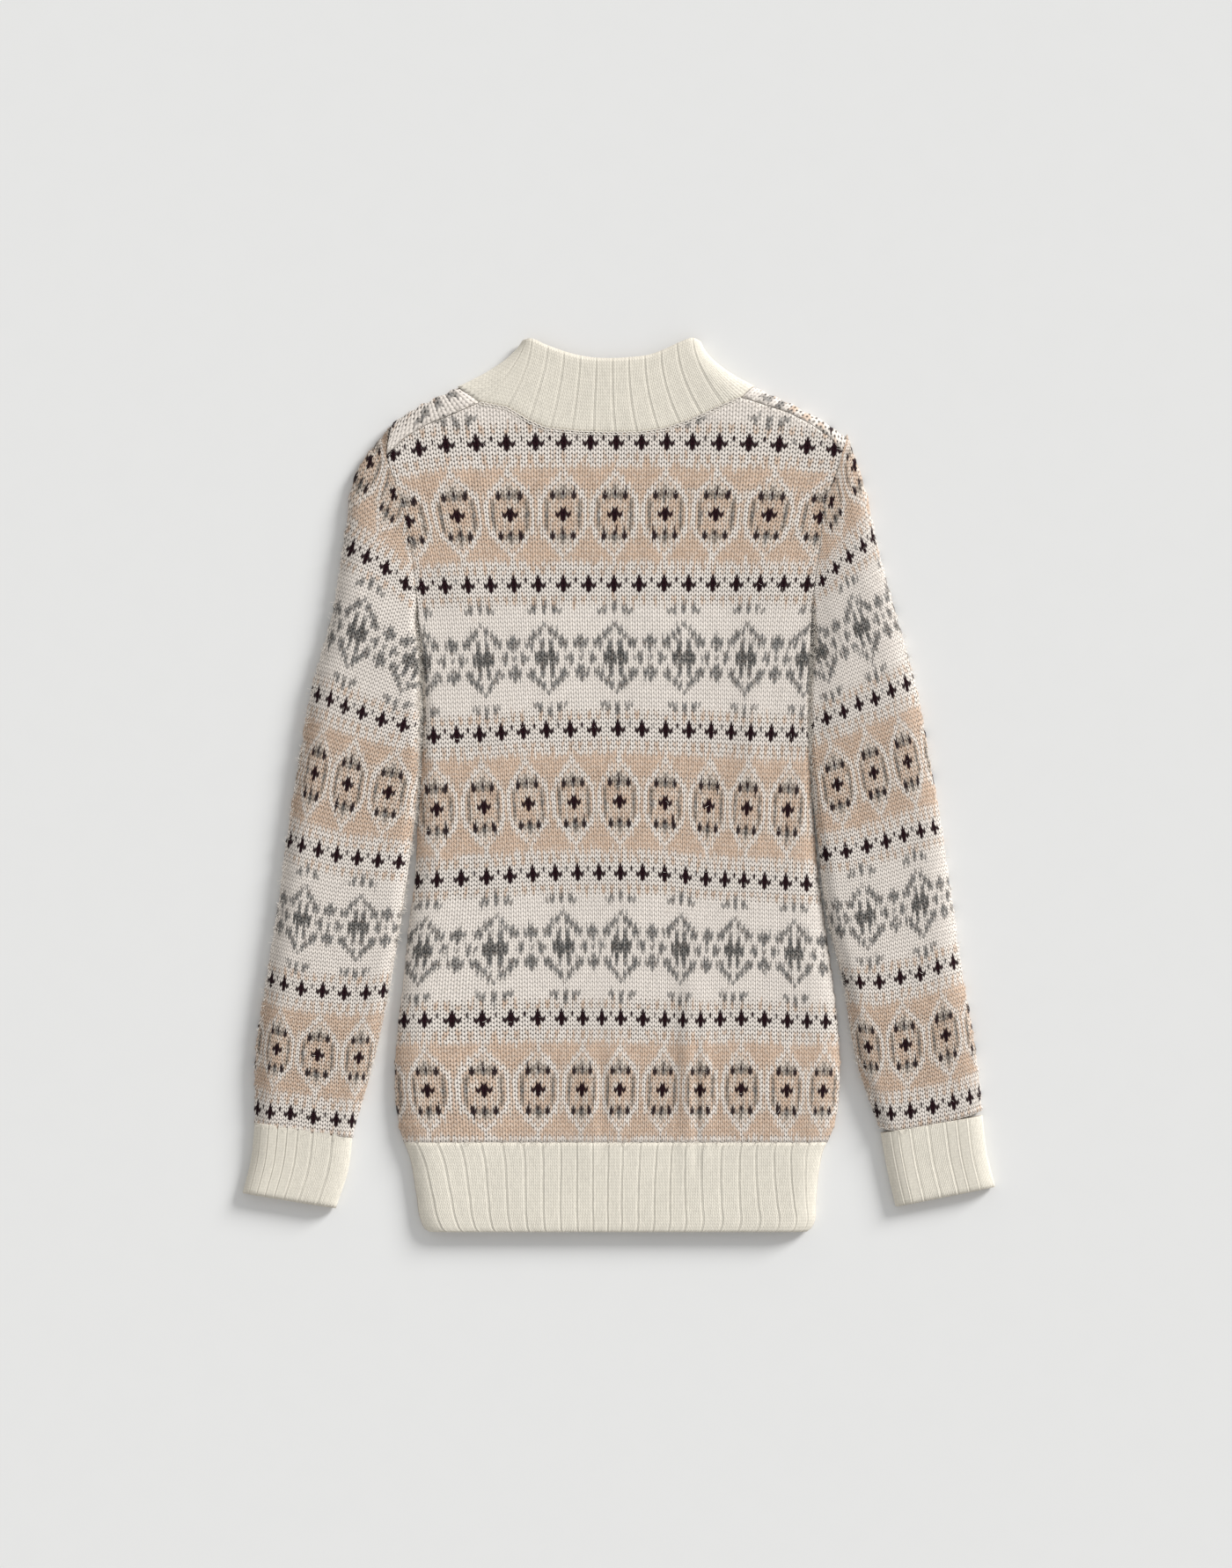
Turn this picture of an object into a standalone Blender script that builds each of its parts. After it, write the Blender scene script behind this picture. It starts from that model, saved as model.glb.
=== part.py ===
"""A knitted jacquard cardigan, laid face down on a table with its back showing.

Metres, +Z up. The garment lies in the XY plane: the collar points to +Y, the hem to -Y, and the
wearer's left sleeve lies towards -X. The back panel is on top, the fronts lie under it on the table.
Plan positions in the tables are millimetres: x across from the middle, up from the hem's lower edge.
"""

from collections import namedtuple
from math import cos, pi, radians, sin

import bmesh
import bpy
import numpy as np

MM = 0.001

# Driving sizes
WALL = 3.4 * MM             # the jacquard knit with its floats and nap
RIB_WALL = 3.2 * MM
SEAM_GAP = 0.3 * MM
ARMHOLE_GAP = 0.8 * MM
BODY_HEIGHT = 10.6 * MM     # top of the back panel above the table
FOLD_HEIGHT = 4.0 * MM      # where an edge fold stands out furthest
UNDER_ROUND = 6.0 * MM      # how far an edge fold curls in below
SIDE_ROUND = 20.0 * MM      # how far a side rounds away above
SHOULDER_ROUND = 14.0 * MM
HEM_UP = 69.2               # seam of the hem rib, mm up
HEM_ROUND = 13.0 * MM
HEM_EDGE_ROUND = 0.8 * MM
RIB_DEPTH = 1.0 * MM
HEM_RIBS = 24
COLLAR_RIBS = 10            # full ribs behind the neck, between the outer grooves
CUFF_RIBS = 7
COLLAR_ROUND = 13.0 * MM
COLLAR_BOW = 7.5            # how far the collar's sides hollow in, mm
BAND_WIDTH = 30.0 * MM
BAND_WALL = 3.0 * MM
NECK_FRONT_UP = 572.0       # front neckline at the centre front, mm up
COLLAR_FRONT_UP = 627.0     # collar's top edge at the centre front, mm up
BUTTONS = 7
BUTTON_RADIUS = 9.0 * MM
BUTTON_THICK = 2.2 * MM
BUTTON_SIDES = 14
BUTTON_PLAY = 0.4 * MM      # room round a button in the knit of its band
FIRST_BUTTON_UP = 24.0
LAST_BUTTON_UP = 606.0
OVERLAP = (-44.0, -17.0)    # the left pieces rise between these x, mm, onto the right band
FOLD_BLEND = 100.0          # a side fold fades away over this height below the underarm, mm
MID_TURN = 1 - cos(radians(45))     # share of a round's reach at the middle of its turn
SHARP_ANGLE = radians(40)

# The body's outline: the widest points left and right at each height.
Side = namedtuple("Side", "up x")
LEFT_SIDE = [
    Side(69.2, -165.9), Side(76.8, -168.2), Side(95.9, -171.4), Side(118.3, -172.7),
    Side(159.1, -170.0), Side(193.1, -165.9), Side(232.6, -162.1), Side(271.3, -157.1),
    Side(310.8, -155.0), Side(369.2, -151.6), Side(434.5, -151.0), Side(475.3, -154.4),
    Side(509.3, -157.8), Side(532.4, -160.5), Side(553.5, -165.5), Side(569.2, -169.0),
    Side(586.2, -175.0), Side(599.1, -178.8), Side(611.3, -176.8), Side(626.3, -172.7),
]
RIGHT_SIDE = [
    Side(69.2, 161.2), Side(76.8, 164.6), Side(95.9, 169.0), Side(118.3, 170.7),
    Side(159.1, 169.0), Side(193.1, 165.2), Side(232.6, 159.8), Side(271.3, 154.4),
    Side(310.8, 151.0), Side(369.2, 147.6), Side(434.5, 147.2), Side(475.3, 148.6),
    Side(509.3, 152.3), Side(532.4, 155.4), Side(553.5, 157.6), Side(569.2, 161.0),
    Side(586.2, 168.0), Side(601.8, 172.4), Side(607.5, 174.2), Side(613.4, 176.1),
]
UNDERARM_UP = 476.0
LEFT_TIP_UP = 599.1         # where the shoulder seam meets the armhole
RIGHT_TIP_UP = 601.8

# The back panel's top edge, from the left armhole over the neck to the right armhole.
Edge = namedtuple("Edge", "x up")
BACK_TOP = [
    Edge(-178.8, 599.1), Edge(-164.6, 612.7), Edge(-147.6, 622.5), Edge(-127.8, 630.4),
    Edge(-107.4, 639.5), Edge(-86.4, 635.5), Edge(-68.7, 624.9), Edge(-56.4, 619.6),
    Edge(-30.6, 616.8), Edge(-5.8, 616.1), Edge(15.6, 616.4), Edge(35.4, 619.1),
    Edge(52.8, 624.9), Edge(76.8, 635.8), Edge(94.5, 643.5), Edge(130.6, 631.7),
    Edge(146.9, 623.6), Edge(161.2, 614.0), Edge(172.4, 601.8),
]
LEFT_NECK_X = -107.4
RIGHT_NECK_X = 94.5
# The shoulder folds, from the armhole to the neck: the outline that shows above the shoulder seams.
LEFT_FOLD = [Edge(-172.7, 626.3), Edge(-150.6, 640.2), Edge(-124.4, 652.1)]
RIGHT_FOLD = [Edge(176.1, 613.4), Edge(161.2, 624.4), Edge(139.3, 636.6), Edge(104.7, 652.8)]
# The collar's top edge behind the neck.
COLLAR_TOP = [
    Edge(-74.5, 687.8), Edge(-68.3, 689.2), Edge(-57.3, 684.8), Edge(-46.4, 680.7),
    Edge(-35.5, 677.3), Edge(-23.1, 674.8), Edge(-7.5, 673.9), Edge(8.2, 674.6),
    Edge(23.8, 676.6), Edge(36.4, 681.2), Edge(48.8, 687.0), Edge(57.1, 689.6), Edge(63.6, 687.2),
]

# The outer grooves of the collar's full ribs, as shares of its half width at the seam and the top:
# the ribs beyond them turn under as they rise.
Groove = namedtuple("Groove", "t left right")
COLLAR_GROOVES = [Groove(0.0, -0.668, 0.786), Groove(1.0, -0.897, 0.906)]
COLLAR_SIDE_RIBS = (2, 1)

# A sleeve's cross rows from the cuff seam to the armhole: outer fold, inner fold and height.
Cross = namedtuple("Cross", "outer_x outer_up inner_x inner_up height floor")
LEFT_SLEEVE = [
    Cross(-281.0, 84.5, -204.7, 76.8, 10.8, 3.4), Cross(-280.2, 138.7, -190.0, 127.2, 12.6, 5.4),
    Cross(-272.0, 195.2, -177.5, 184.3, 13.4, 6.4), Cross(-263.2, 251.0, -168.0, 238.7, 13.2, 6.4),
    Cross(-255.0, 312.1, -160.3, 293.1, 13.0, 6.2), Cross(-246.8, 363.1, -158.2, 335.9, 13.4, 6.4),
    Cross(-237.4, 417.5, -158.0, 376.7, 13.6, 6.4), Cross(-221.5, 475.3, -159.4, 424.3, 13.4, 6.2),
    Cross(-210.8, 543.3, -160.0, 451.5, 12.8, 5.6), Cross(-202.0, 587.5, -158.4, 466.5, 12.0, 4.8),
    Cross(-173.9, 625.9, -155.4, 475.6, 10.6, 3.4),
]
RIGHT_SLEEVE = [
    Cross(281.2, 90.4, 202.0, 76.8, 10.8, 3.4), Cross(275.4, 142.1, 184.3, 129.2, 12.6, 5.4),
    Cross(263.8, 208.8, 172.7, 194.5, 13.4, 6.4), Cross(256.4, 263.2, 159.6, 248.5, 13.2, 6.4),
    Cross(248.2, 318.9, 154.0, 297.2, 13.0, 6.2), Cross(240.0, 365.2, 151.4, 335.9, 13.4, 6.4),
    Cross(230.5, 417.5, 149.3, 381.5, 13.6, 6.4), Cross(215.6, 471.9, 150.0, 426.4, 13.4, 6.2),
    Cross(200.6, 526.3, 151.2, 451.5, 12.8, 5.6), Cross(189.7, 576.0, 151.0, 465.8, 12.0, 4.8),
    Cross(177.2, 613.0, 149.9, 476.0, 10.6, 3.4),
]
# A cuff from its seam to its edge.
LEFT_CUFF = [
    Cross(-281.0, 84.0, -204.7, 76.3, 10.4, 3.2), Cross(-284.0, 56.0, -208.5, 47.0, 9.8, 3.2),
    Cross(-290.4, 29.9, -217.9, 18.0, 9.6, 3.2),
]
RIGHT_CUFF = [
    Cross(281.2, 89.9, 202.0, 76.3, 10.4, 3.2), Cross(284.4, 62.0, 206.8, 49.0, 9.8, 3.2),
    Cross(291.0, 34.7, 213.5, 19.2, 9.6, 3.2),
]
SLEEVE_INNER_ROUND = 13.0 * MM
SLEEVE_OUTER_ROUND = 27.0 * MM
CUFF_ROUND = 15.0 * MM

# Soft folds and swellings of the back: middle, half width, half length and height, in mm.
Fold = namedtuple("Fold", "x up width length height")
BACK_FOLDS = [
    Fold(53.0, 130.0, 7.0, 60.0, 2.2), Fold(66.0, 120.0, 6.0, 48.0, 1.6),
    Fold(60.0, 190.0, 9.0, 50.0, 1.0), Fold(-22.0, 108.0, 9.0, 34.0, 1.6),
    Fold(-4.0, 118.0, 8.0, 40.0, 1.3), Fold(103.0, 372.0, 11.0, 60.0, 1.2),
    Fold(-120.0, 105.0, 26.0, 24.0, 1.4), Fold(118.0, 112.0, 24.0, 26.0, 1.3),
    Fold(-90.0, 300.0, 20.0, 90.0, 0.8), Fold(30.0, 455.0, 26.0, 70.0, 0.7),
]


def along(table, key, value, at):
    """Reads a column of a table at other keys, with a smooth curve through its rows."""
    keys = np.array([getattr(row, key) for row in table])
    values = np.array([getattr(row, value) for row in table])
    slopes = np.gradient(values, keys)
    at = np.clip(np.asarray(at, float), keys[0], keys[-1])
    i = np.clip(np.searchsorted(keys, at) - 1, 0, len(keys) - 2)
    step = keys[i + 1] - keys[i]
    s = (at - keys[i]) / step
    return (
        (2 * s**3 - 3 * s**2 + 1) * values[i] + (s**3 - 2 * s**2 + s) * step * slopes[i]
        + (3 * s**2 - 2 * s**3) * values[i + 1] + (s**3 - s**2) * step * slopes[i + 1]
    )


def straight(table, x):
    """The height of an edge at x, with straight runs between its points."""
    return np.interp(x, [p.x for p in table], [p.up for p in table])


def ramp(value, start, end):
    """0 before start, 1 after end, and a soft step between them."""
    s = np.clip((value - start) / (end - start), 0, 1)
    return s * s * (3 - 2 * s)


def place(x, up, z):
    """Points in metres from plan positions in millimetres and heights in metres."""
    x, up, z = np.broadcast_arrays(np.asarray(x, float), up, z)
    return np.stack([x * MM, up * MM, z], axis=-1)


def unit(vectors):
    return vectors / np.maximum(np.linalg.norm(vectors, axis=-1, keepdims=True), 1e-9)


def material(name, colour, roughness):
    made = bpy.data.materials.new(name)
    made.use_nodes = True
    shader = made.node_tree.nodes["Principled BSDF"]
    shader.inputs["Base Color"].default_value = (*colour, 1.0)
    shader.inputs["Roughness"].default_value = roughness
    shader.inputs["Metallic"].default_value = 0.0
    return made


def wall(name, outer, inner, colour, closed=False, keep=None):
    """One closed solid between an outer and an inner grid of points, as rows of columns."""
    rows, columns = outer.shape[:2]
    mesh = bmesh.new()
    skins = [[[mesh.verts.new(p) for p in row] for row in grid] for grid in (outer, inner)]
    edges = {}
    for i in range(rows - 1):
        for j in range(columns if closed else columns - 1):
            if keep is not None and not keep[i][j]:
                continue
            k = (j + 1) % columns
            ring = [(i, j), (i, k), (i + 1, k), (i + 1, j)]
            mesh.faces.new([skins[0][a][b] for a, b in ring])
            mesh.faces.new([skins[1][a][b] for a, b in reversed(ring)])
            for start, end in zip(ring, ring[1:] + ring[:1]):
                if (end, start) in edges:
                    del edges[(end, start)]
                else:
                    edges[(start, end)] = True
    for (a, b), (c, d) in edges:
        mesh.faces.new([skins[0][c][d], skins[0][a][b], skins[1][a][b], skins[1][c][d]])
    bmesh.ops.delete(mesh, geom=[v for v in mesh.verts if not v.link_faces], context="VERTS")
    bmesh.ops.recalc_face_normals(mesh, faces=mesh.faces)
    return finish(name, mesh, colour)


def finish(name, mesh, colour):
    """Turns a bmesh into a named object with its own material."""
    data = bpy.data.meshes.new(name)
    mesh.to_mesh(data)
    mesh.free()
    data.materials.append(material(name, *colour))
    data.shade_smooth()
    data.set_sharp_from_angle(angle=SHARP_ANGLE)
    made = bpy.data.objects.new(name, data)
    bpy.context.scene.collection.objects.link(made)
    return made


JACQUARD = ((0.72, 0.66, 0.58), 0.95)
RIB_KNIT = ((0.76, 0.71, 0.62), 0.9)
HORN = ((0.30, 0.22, 0.15), 0.4)

SIDES = {"left": (LEFT_SIDE, LEFT_FOLD), "right": (RIGHT_SIDE, RIGHT_FOLD)}
SIGN = {"left": -1.0, "right": 1.0}


def side_x(side, up):
    """The body's widest x at a height, on one side."""
    return along(SIDES[side][0], "up", "x", up)


def soft_folds(x, up):
    """How much the back's soft folds raise it."""
    total = np.zeros(np.broadcast(x, up).shape)
    for fold in BACK_FOLDS:
        reach = ((x - fold.x) / fold.width) ** 2 + ((up - fold.up) / fold.length) ** 2
        total = total + fold.height * np.exp(-reach)
    return total * MM


def round_steps(reach, angles):
    """Distances in from a fold at which its ellipse has the given angles, in degrees."""
    return [reach * (1 - cos(radians(a))) for a in angles]


def upper_edge(distance, reach):
    """Sine and cosine of an edge's ellipse at distances in from the fold."""
    c = np.clip(1 - distance / reach, 0, 1)
    return np.sqrt(1 - c * c), c


def rib_relief(position, depth):
    """How far a rib pattern is sunk below its crowns at a position counted in ribs."""
    s = np.abs((position % 1.0) - 0.5) * 2
    return depth * ramp(s, 0.62, 1.0)


def rib_columns(count, steps=(0.0, 0.18, 0.82)):
    """Positions in ribs that catch each groove and its two banks."""
    return np.array([k + s for k in range(count) for s in steps] + [float(count)])


def panel_rows(below, above):
    """Shares up a panel, closer together along the armhole than below the underarm."""
    underarm = (UNDERARM_UP - HEM_UP) / (LEFT_TIP_UP - HEM_UP)
    lower = np.linspace(0, underarm, below, endpoint=False)
    return np.concatenate([lower, np.linspace(underarm, 1, above)])[:, None]


def back():
    """The back panel: its sides curl down to the side seams, its top meets collar and shoulders."""
    steps = [0, 1.5, 6, 12, 20]
    middle = [p.x for p in BACK_TOP[1:-1]] + [-97, -77.5, -43, -18, 5, 25.5, 44, 65, 85.5, 112]
    left, right = BACK_TOP[0].x, BACK_TOP[-1].x
    ends = [left + s for s in steps] + [right - s for s in steps]
    x_top = np.array(sorted(set(ends + [x for x in middle if left + 24 < x < right - 24])))
    up_top = straight(BACK_TOP, x_top)
    share = (x_top - side_x("left", up_top)) / (side_x("right", up_top) - side_x("left", up_top))
    share[0], share[-1] = 0.0, 1.0
    seam = HEM_UP + SEAM_GAP / MM / 2
    t = panel_rows(12, 9)
    up = seam + t * (up_top - seam)
    x_left, x_right = side_x("left", up), side_x("right", up)
    x = x_left + share * (x_right - x_left)
    x[-1] = x_top
    edge = np.minimum(x - x_left, x_right - x) * MM
    below_arm = 1 - ramp(up, UNDERARM_UP - FOLD_BLEND, UNDERARM_UP + 2)
    sine, cosine = upper_edge(edge, SIDE_ROUND)
    drop = BODY_HEIGHT - FOLD_HEIGHT - SEAM_GAP / 2
    z = BODY_HEIGHT - drop * below_arm * (1 - sine) + soft_folds(x, up) * sine
    outward = np.where(share < 0.5, -1.0, 1.0)[None, :] * cosine * below_arm
    normal = unit(np.stack([outward, 0 * outward, 1 - below_arm * (1 - sine)], axis=-1))
    outer = place(x, up, z)
    return wall("back", outer, outer - WALL * normal, JACQUARD)


def lift(side, x):
    """How far a left piece rises near the centre front, onto the right band below it."""
    if side == "right":
        return 0.0 * x
    return (BAND_WALL + SEAM_GAP) * ramp(x, *OVERLAP)


def under_profile(side, x, x_edge, fade):
    """Outer height and outward lean of an underside near its side fold."""
    sine, cosine = upper_edge(np.abs(x - x_edge) * MM, UNDER_ROUND)
    z = (FOLD_HEIGHT - SEAM_GAP / 2) * (1 - sine) * fade + lift(side, x)
    lean = SIGN[side] * cosine * fade
    return z, np.stack([lean, 0 * lean, -(1 - fade * (1 - sine))], axis=-1)


def neck_front(x, end_x, end_up, low_up):
    """Height of an edge that dips from a fold to the centre front."""
    centre = BAND_WIDTH / MM / 2
    share = np.clip((np.abs(x) - centre) / (abs(end_x) - centre), 0, 1)
    return low_up + (end_up - low_up) * share**2


def neck_columns(side):
    """The x of the columns from a neck fold to the centre front."""
    fold = SIDES[side][1][-1].x
    centre = SIGN[side] * (BAND_WIDTH + 2 * SEAM_GAP) / MM / 2
    first = [fold - SIGN[side] * d / MM for d in round_steps(UNDER_ROUND, (45, 90))]
    return np.array(first + list(np.linspace(first[-1], centre, 8)[1:]))


def shoulder_columns(side):
    """The x of the columns along a shoulder seam, from the armhole to the neck."""
    tip, neck = (BACK_TOP[0].x, LEFT_NECK_X) if side == "left" else (BACK_TOP[-1].x, RIGHT_NECK_X)
    own = [p.x for p in BACK_TOP if min(tip, neck) < p.x < max(tip, neck)]
    first = [tip - SIGN[side] * d for d in (0, 1.8, 6.0)]
    rest = [x for x in own if abs(x - tip) > 9] + [neck]
    return np.array(first + sorted(rest, key=lambda x: abs(x - tip)))


def front(side):
    """A front panel: flat on the table, then over the shoulder fold to the seam on the back."""
    sign = SIGN[side]
    fold_table = SIDES[side][1]
    seam_x = shoulder_columns(side)
    seam_up = straight(BACK_TOP, seam_x)
    share = (seam_x - seam_x[0]) / (seam_x[-1] - seam_x[0])
    fold_x = fold_table[0].x + share * (fold_table[-1].x - fold_table[0].x)
    fold_x[1:3] = fold_table[0].x - sign * np.array([MID_TURN, 1.0]) * UNDER_ROUND / MM
    rising = sorted(fold_table, key=lambda p: p.x)
    fold_up = straight(rising, fold_x)
    neck_x = neck_columns(side)
    neck_up = neck_front(neck_x, fold_table[-1].x, fold_table[-1].up, NECK_FRONT_UP)
    top_x = np.concatenate([fold_x, neck_x])
    top_up = np.concatenate([fold_up, neck_up])
    shoulders = len(fold_x)

    # the rows that lie on the table, and those that round up to the shoulder fold
    seam = HEM_UP + SEAM_GAP / MM / 2
    run = panel_rows(8, 9)
    last = UNDER_ROUND / MM
    up = seam + run * (top_up - last - seam)
    up = np.vstack([up, top_up - MID_TURN * last, top_up])
    x_edge = side_x(side, up)
    centre = sign * (BAND_WIDTH + 2 * SEAM_GAP) / MM / 2
    reach = (top_x - side_x(side, top_up)) / (centre - side_x(side, top_up))
    reach[0] = 0.0
    x = x_edge + reach * (centre - x_edge)
    for column, inset in ((1, MID_TURN * last), (2, last)):
        spreads = ramp(up[:, column], UNDERARM_UP - 30, UNDERARM_UP + 30)
        at_fold = x_edge[:, column] - sign * inset
        x[:, column] = at_fold + spreads * (x[:, column] - at_fold)
    x[-1] = top_x
    fade = 1 - ramp(up, UNDERARM_UP - FOLD_BLEND, UNDERARM_UP + 2)
    z, normal = under_profile(side, x, x_edge, fade)

    # the shoulder fold: outward is square to the fold line
    line = unit(np.array([sign * (fold_table[0].up - fold_table[-1].up) * -1,
                          abs(fold_table[0].x - fold_table[-1].x)]))
    sine = np.array([1.0, sin(radians(45)), 0.0])
    for row, s in zip((-3, -2, -1), sine):
        c = np.sqrt(1 - s * s)
        z[row, :shoulders] += FOLD_HEIGHT * (1 - s)
        normal[row, :shoulders] = np.array([line[0] * c, line[1] * c, -s])
    for column, s in zip((shoulders, shoulders + 1), sine[::-1][1:]):
        z[-1, column] += FOLD_HEIGHT * (1 - s)
        run_in = unit(np.array([top_x[column + 1] - top_x[column], top_up[column + 1] - top_up[column]]))
        normal[-1, column] = np.array([*(-run_in * np.sqrt(1 - s * s)), -s])
    z[-2, shoulders] += FOLD_HEIGHT * 0.12

    # the part above the fold, up to the shoulder seam
    wide = np.hypot(seam_x - fold_x, seam_up - fold_up)
    above_x, above_up, above_z, above_normal = [], [], [], []
    for angle in (30, 60, 90, None):
        if angle is None:
            part = np.ones(shoulders)
            angle = 90
        else:
            turn = np.minimum(SHOULDER_ROUND / MM, 0.8 * wide)
            part = turn * (1 - cos(radians(angle))) / wide
        above_x.append(fold_x + part * (seam_x - fold_x))
        above_up.append(fold_up + part * (seam_up - fold_up) + (part == 1) * SEAM_GAP / MM * 1.2)
        s, c = sin(radians(angle)), cos(radians(angle))
        above_z.append(FOLD_HEIGHT + (BODY_HEIGHT - FOLD_HEIGHT) * s + 0 * fold_x)
        above_normal.append(np.tile([line[0] * c, line[1] * c, s], (shoulders, 1)))
    pad = len(neck_x)
    x = np.vstack([x, [np.pad(row, (0, pad)) for row in above_x]])
    up = np.vstack([up, [np.pad(row, (0, pad)) for row in above_up]])
    z = np.vstack([z, [np.pad(row, (0, pad)) for row in above_z]])
    blank = [np.pad(rows, ((0, pad), (0, 0))) for rows in above_normal]
    normal = unit(np.concatenate([normal, blank]))
    keep = [[i < len(x) - 5 or j < shoulders - 1 for j in range(x.shape[1] - 1)]
            for i in range(len(x) - 1)]
    outer = place(x, up, z)
    return wall(f"front_{side}", outer, outer - WALL * normal, JACQUARD, keep=keep)


# The hem rib's outline below its seam.
LEFT_HEM = [Side(0.0, -146.5), Side(2.2, -149.6), Side(6.8, -152.0), Side(28.6, -156.1),
            Side(61.9, -162.8), Side(69.2, -165.9)]
RIGHT_HEM = [Side(0.0, 145.5), Side(2.2, 148.4), Side(6.8, 151.0), Side(21.8, 152.3),
             Side(48.6, 155.0), Side(66.0, 159.4), Side(69.2, 161.2)]
HEM_ROWS = (0.0, 3.0, 26.0, 50.0)
HEMS = {"left": LEFT_HEM, "right": RIGHT_HEM}


def hem_x(side, up):
    return along(HEMS[side], "up", "x", up)


def hem_rows():
    return np.array([*HEM_ROWS, HEM_UP - SEAM_GAP / MM / 2])[:, None]


def hem_back():
    """The hem rib under the back panel, with its ribs raised."""
    up = hem_rows()
    ribs = rib_columns(HEM_RIBS)[None, :]
    share = ribs / HEM_RIBS
    x_left, x_right = hem_x("left", up), hem_x("right", up)
    x = x_left + share * (x_right - x_left)
    edge = np.minimum(x - x_left, x_right - x) * MM
    sine, cosine = upper_edge(edge, HEM_ROUND)
    drop = BODY_HEIGHT - FOLD_HEIGHT - SEAM_GAP / 2
    z = BODY_HEIGHT - drop * (1 - sine)
    outward = np.where(share < 0.5, -1.0, 1.0) * cosine
    normal = unit(np.stack([outward, 0 * outward, sine], axis=-1))
    up = up + 0 * x
    plain = place(x, up, z)
    worn_edge = np.where(up < 1, HEM_EDGE_ROUND, 0.0)
    outer = plain - (rib_relief(ribs, RIB_DEPTH) + worn_edge)[..., None] * normal
    return wall("hem_back", outer, plain - RIB_WALL * normal, RIB_KNIT)


def hem_front(side):
    """The hem rib under a front panel, plain where it lies on the table."""
    sign = SIGN[side]
    up = hem_rows()
    x_edge = hem_x(side, up)
    centre = sign * (BAND_WIDTH + 2 * SEAM_GAP) / MM / 2
    steps = [d / MM for d in round_steps(UNDER_ROUND, (0, 45, 90))]
    first = [x_edge - sign * step for step in steps]
    rest = [first[-1] + s * (centre - first[-1]) for s in np.linspace(0, 1, 9)[1:]]
    x = np.concatenate(first + rest, axis=1)
    up = up + 0 * x
    z, normal = under_profile(side, x, x_edge, 1.0)
    outer = place(x, up, z)
    return wall(f"hem_front_{side}", outer, outer - RIB_WALL * unit(normal), RIB_KNIT)


def collar():
    """The stand collar: ribs fan out behind the neck, its ends come round under it to the fronts."""
    gap = SEAM_GAP / MM * 1.6
    left_fold, right_fold = LEFT_FOLD[-1], RIGHT_FOLD[-1]
    seam = [left_fold, *[p for p in BACK_TOP if LEFT_NECK_X <= p.x <= RIGHT_NECK_X], right_fold]
    centre = BAND_WIDTH / MM / 2
    left_under = (left_fold.x - neck_columns("left")) / (left_fold.x + centre)
    right_under = (right_fold.x - neck_columns("right")) / (right_fold.x - centre)
    full = rib_columns(COLLAR_RIBS)
    beside = [rib_columns(count, (0.0, 0.17, 0.5, 0.83)) for count in COLLAR_SIDE_RIBS]
    counted = np.concatenate([0 * left_under, beside[0][:-1], full, beside[1][1:], 0 * right_under])
    rows = []
    for t in np.linspace(0, 1, 5):
        left = along(COLLAR_GROOVES, "t", "left", t)
        right = along(COLLAR_GROOVES, "t", "right", t)
        near_left = -1 + beside[0][:-1] / COLLAR_SIDE_RIBS[0] * (left + 1)
        near_right = right + beside[1][1:] / COLLAR_SIDE_RIBS[1] * (1 - right)
        middle = left + full / COLLAR_RIBS * (right - left)
        where = [-1 - left_under[::-1], near_left, middle, near_right, 1 + right_under]
        points, normals = collar_row(t, np.concatenate(where), seam, COLLAR_TOP, gap)
        depth = RIB_DEPTH * np.concatenate([
            0 * left_under, 0 * near_left + 1 - t, 0 * middle + 1, 0 * near_right + 1 - t, 0 * right_under])
        rows.append((points, normals, rib_relief(counted, depth)))
    points, normals, relief = (np.array(part) for part in zip(*rows))
    raised = np.clip(normals[..., 2] * 2 + 0.3, 0, 1)
    outer = points - (relief * raised)[..., None] * normals
    return wall("collar", outer, points - RIB_WALL * normals, RIB_KNIT)


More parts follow.
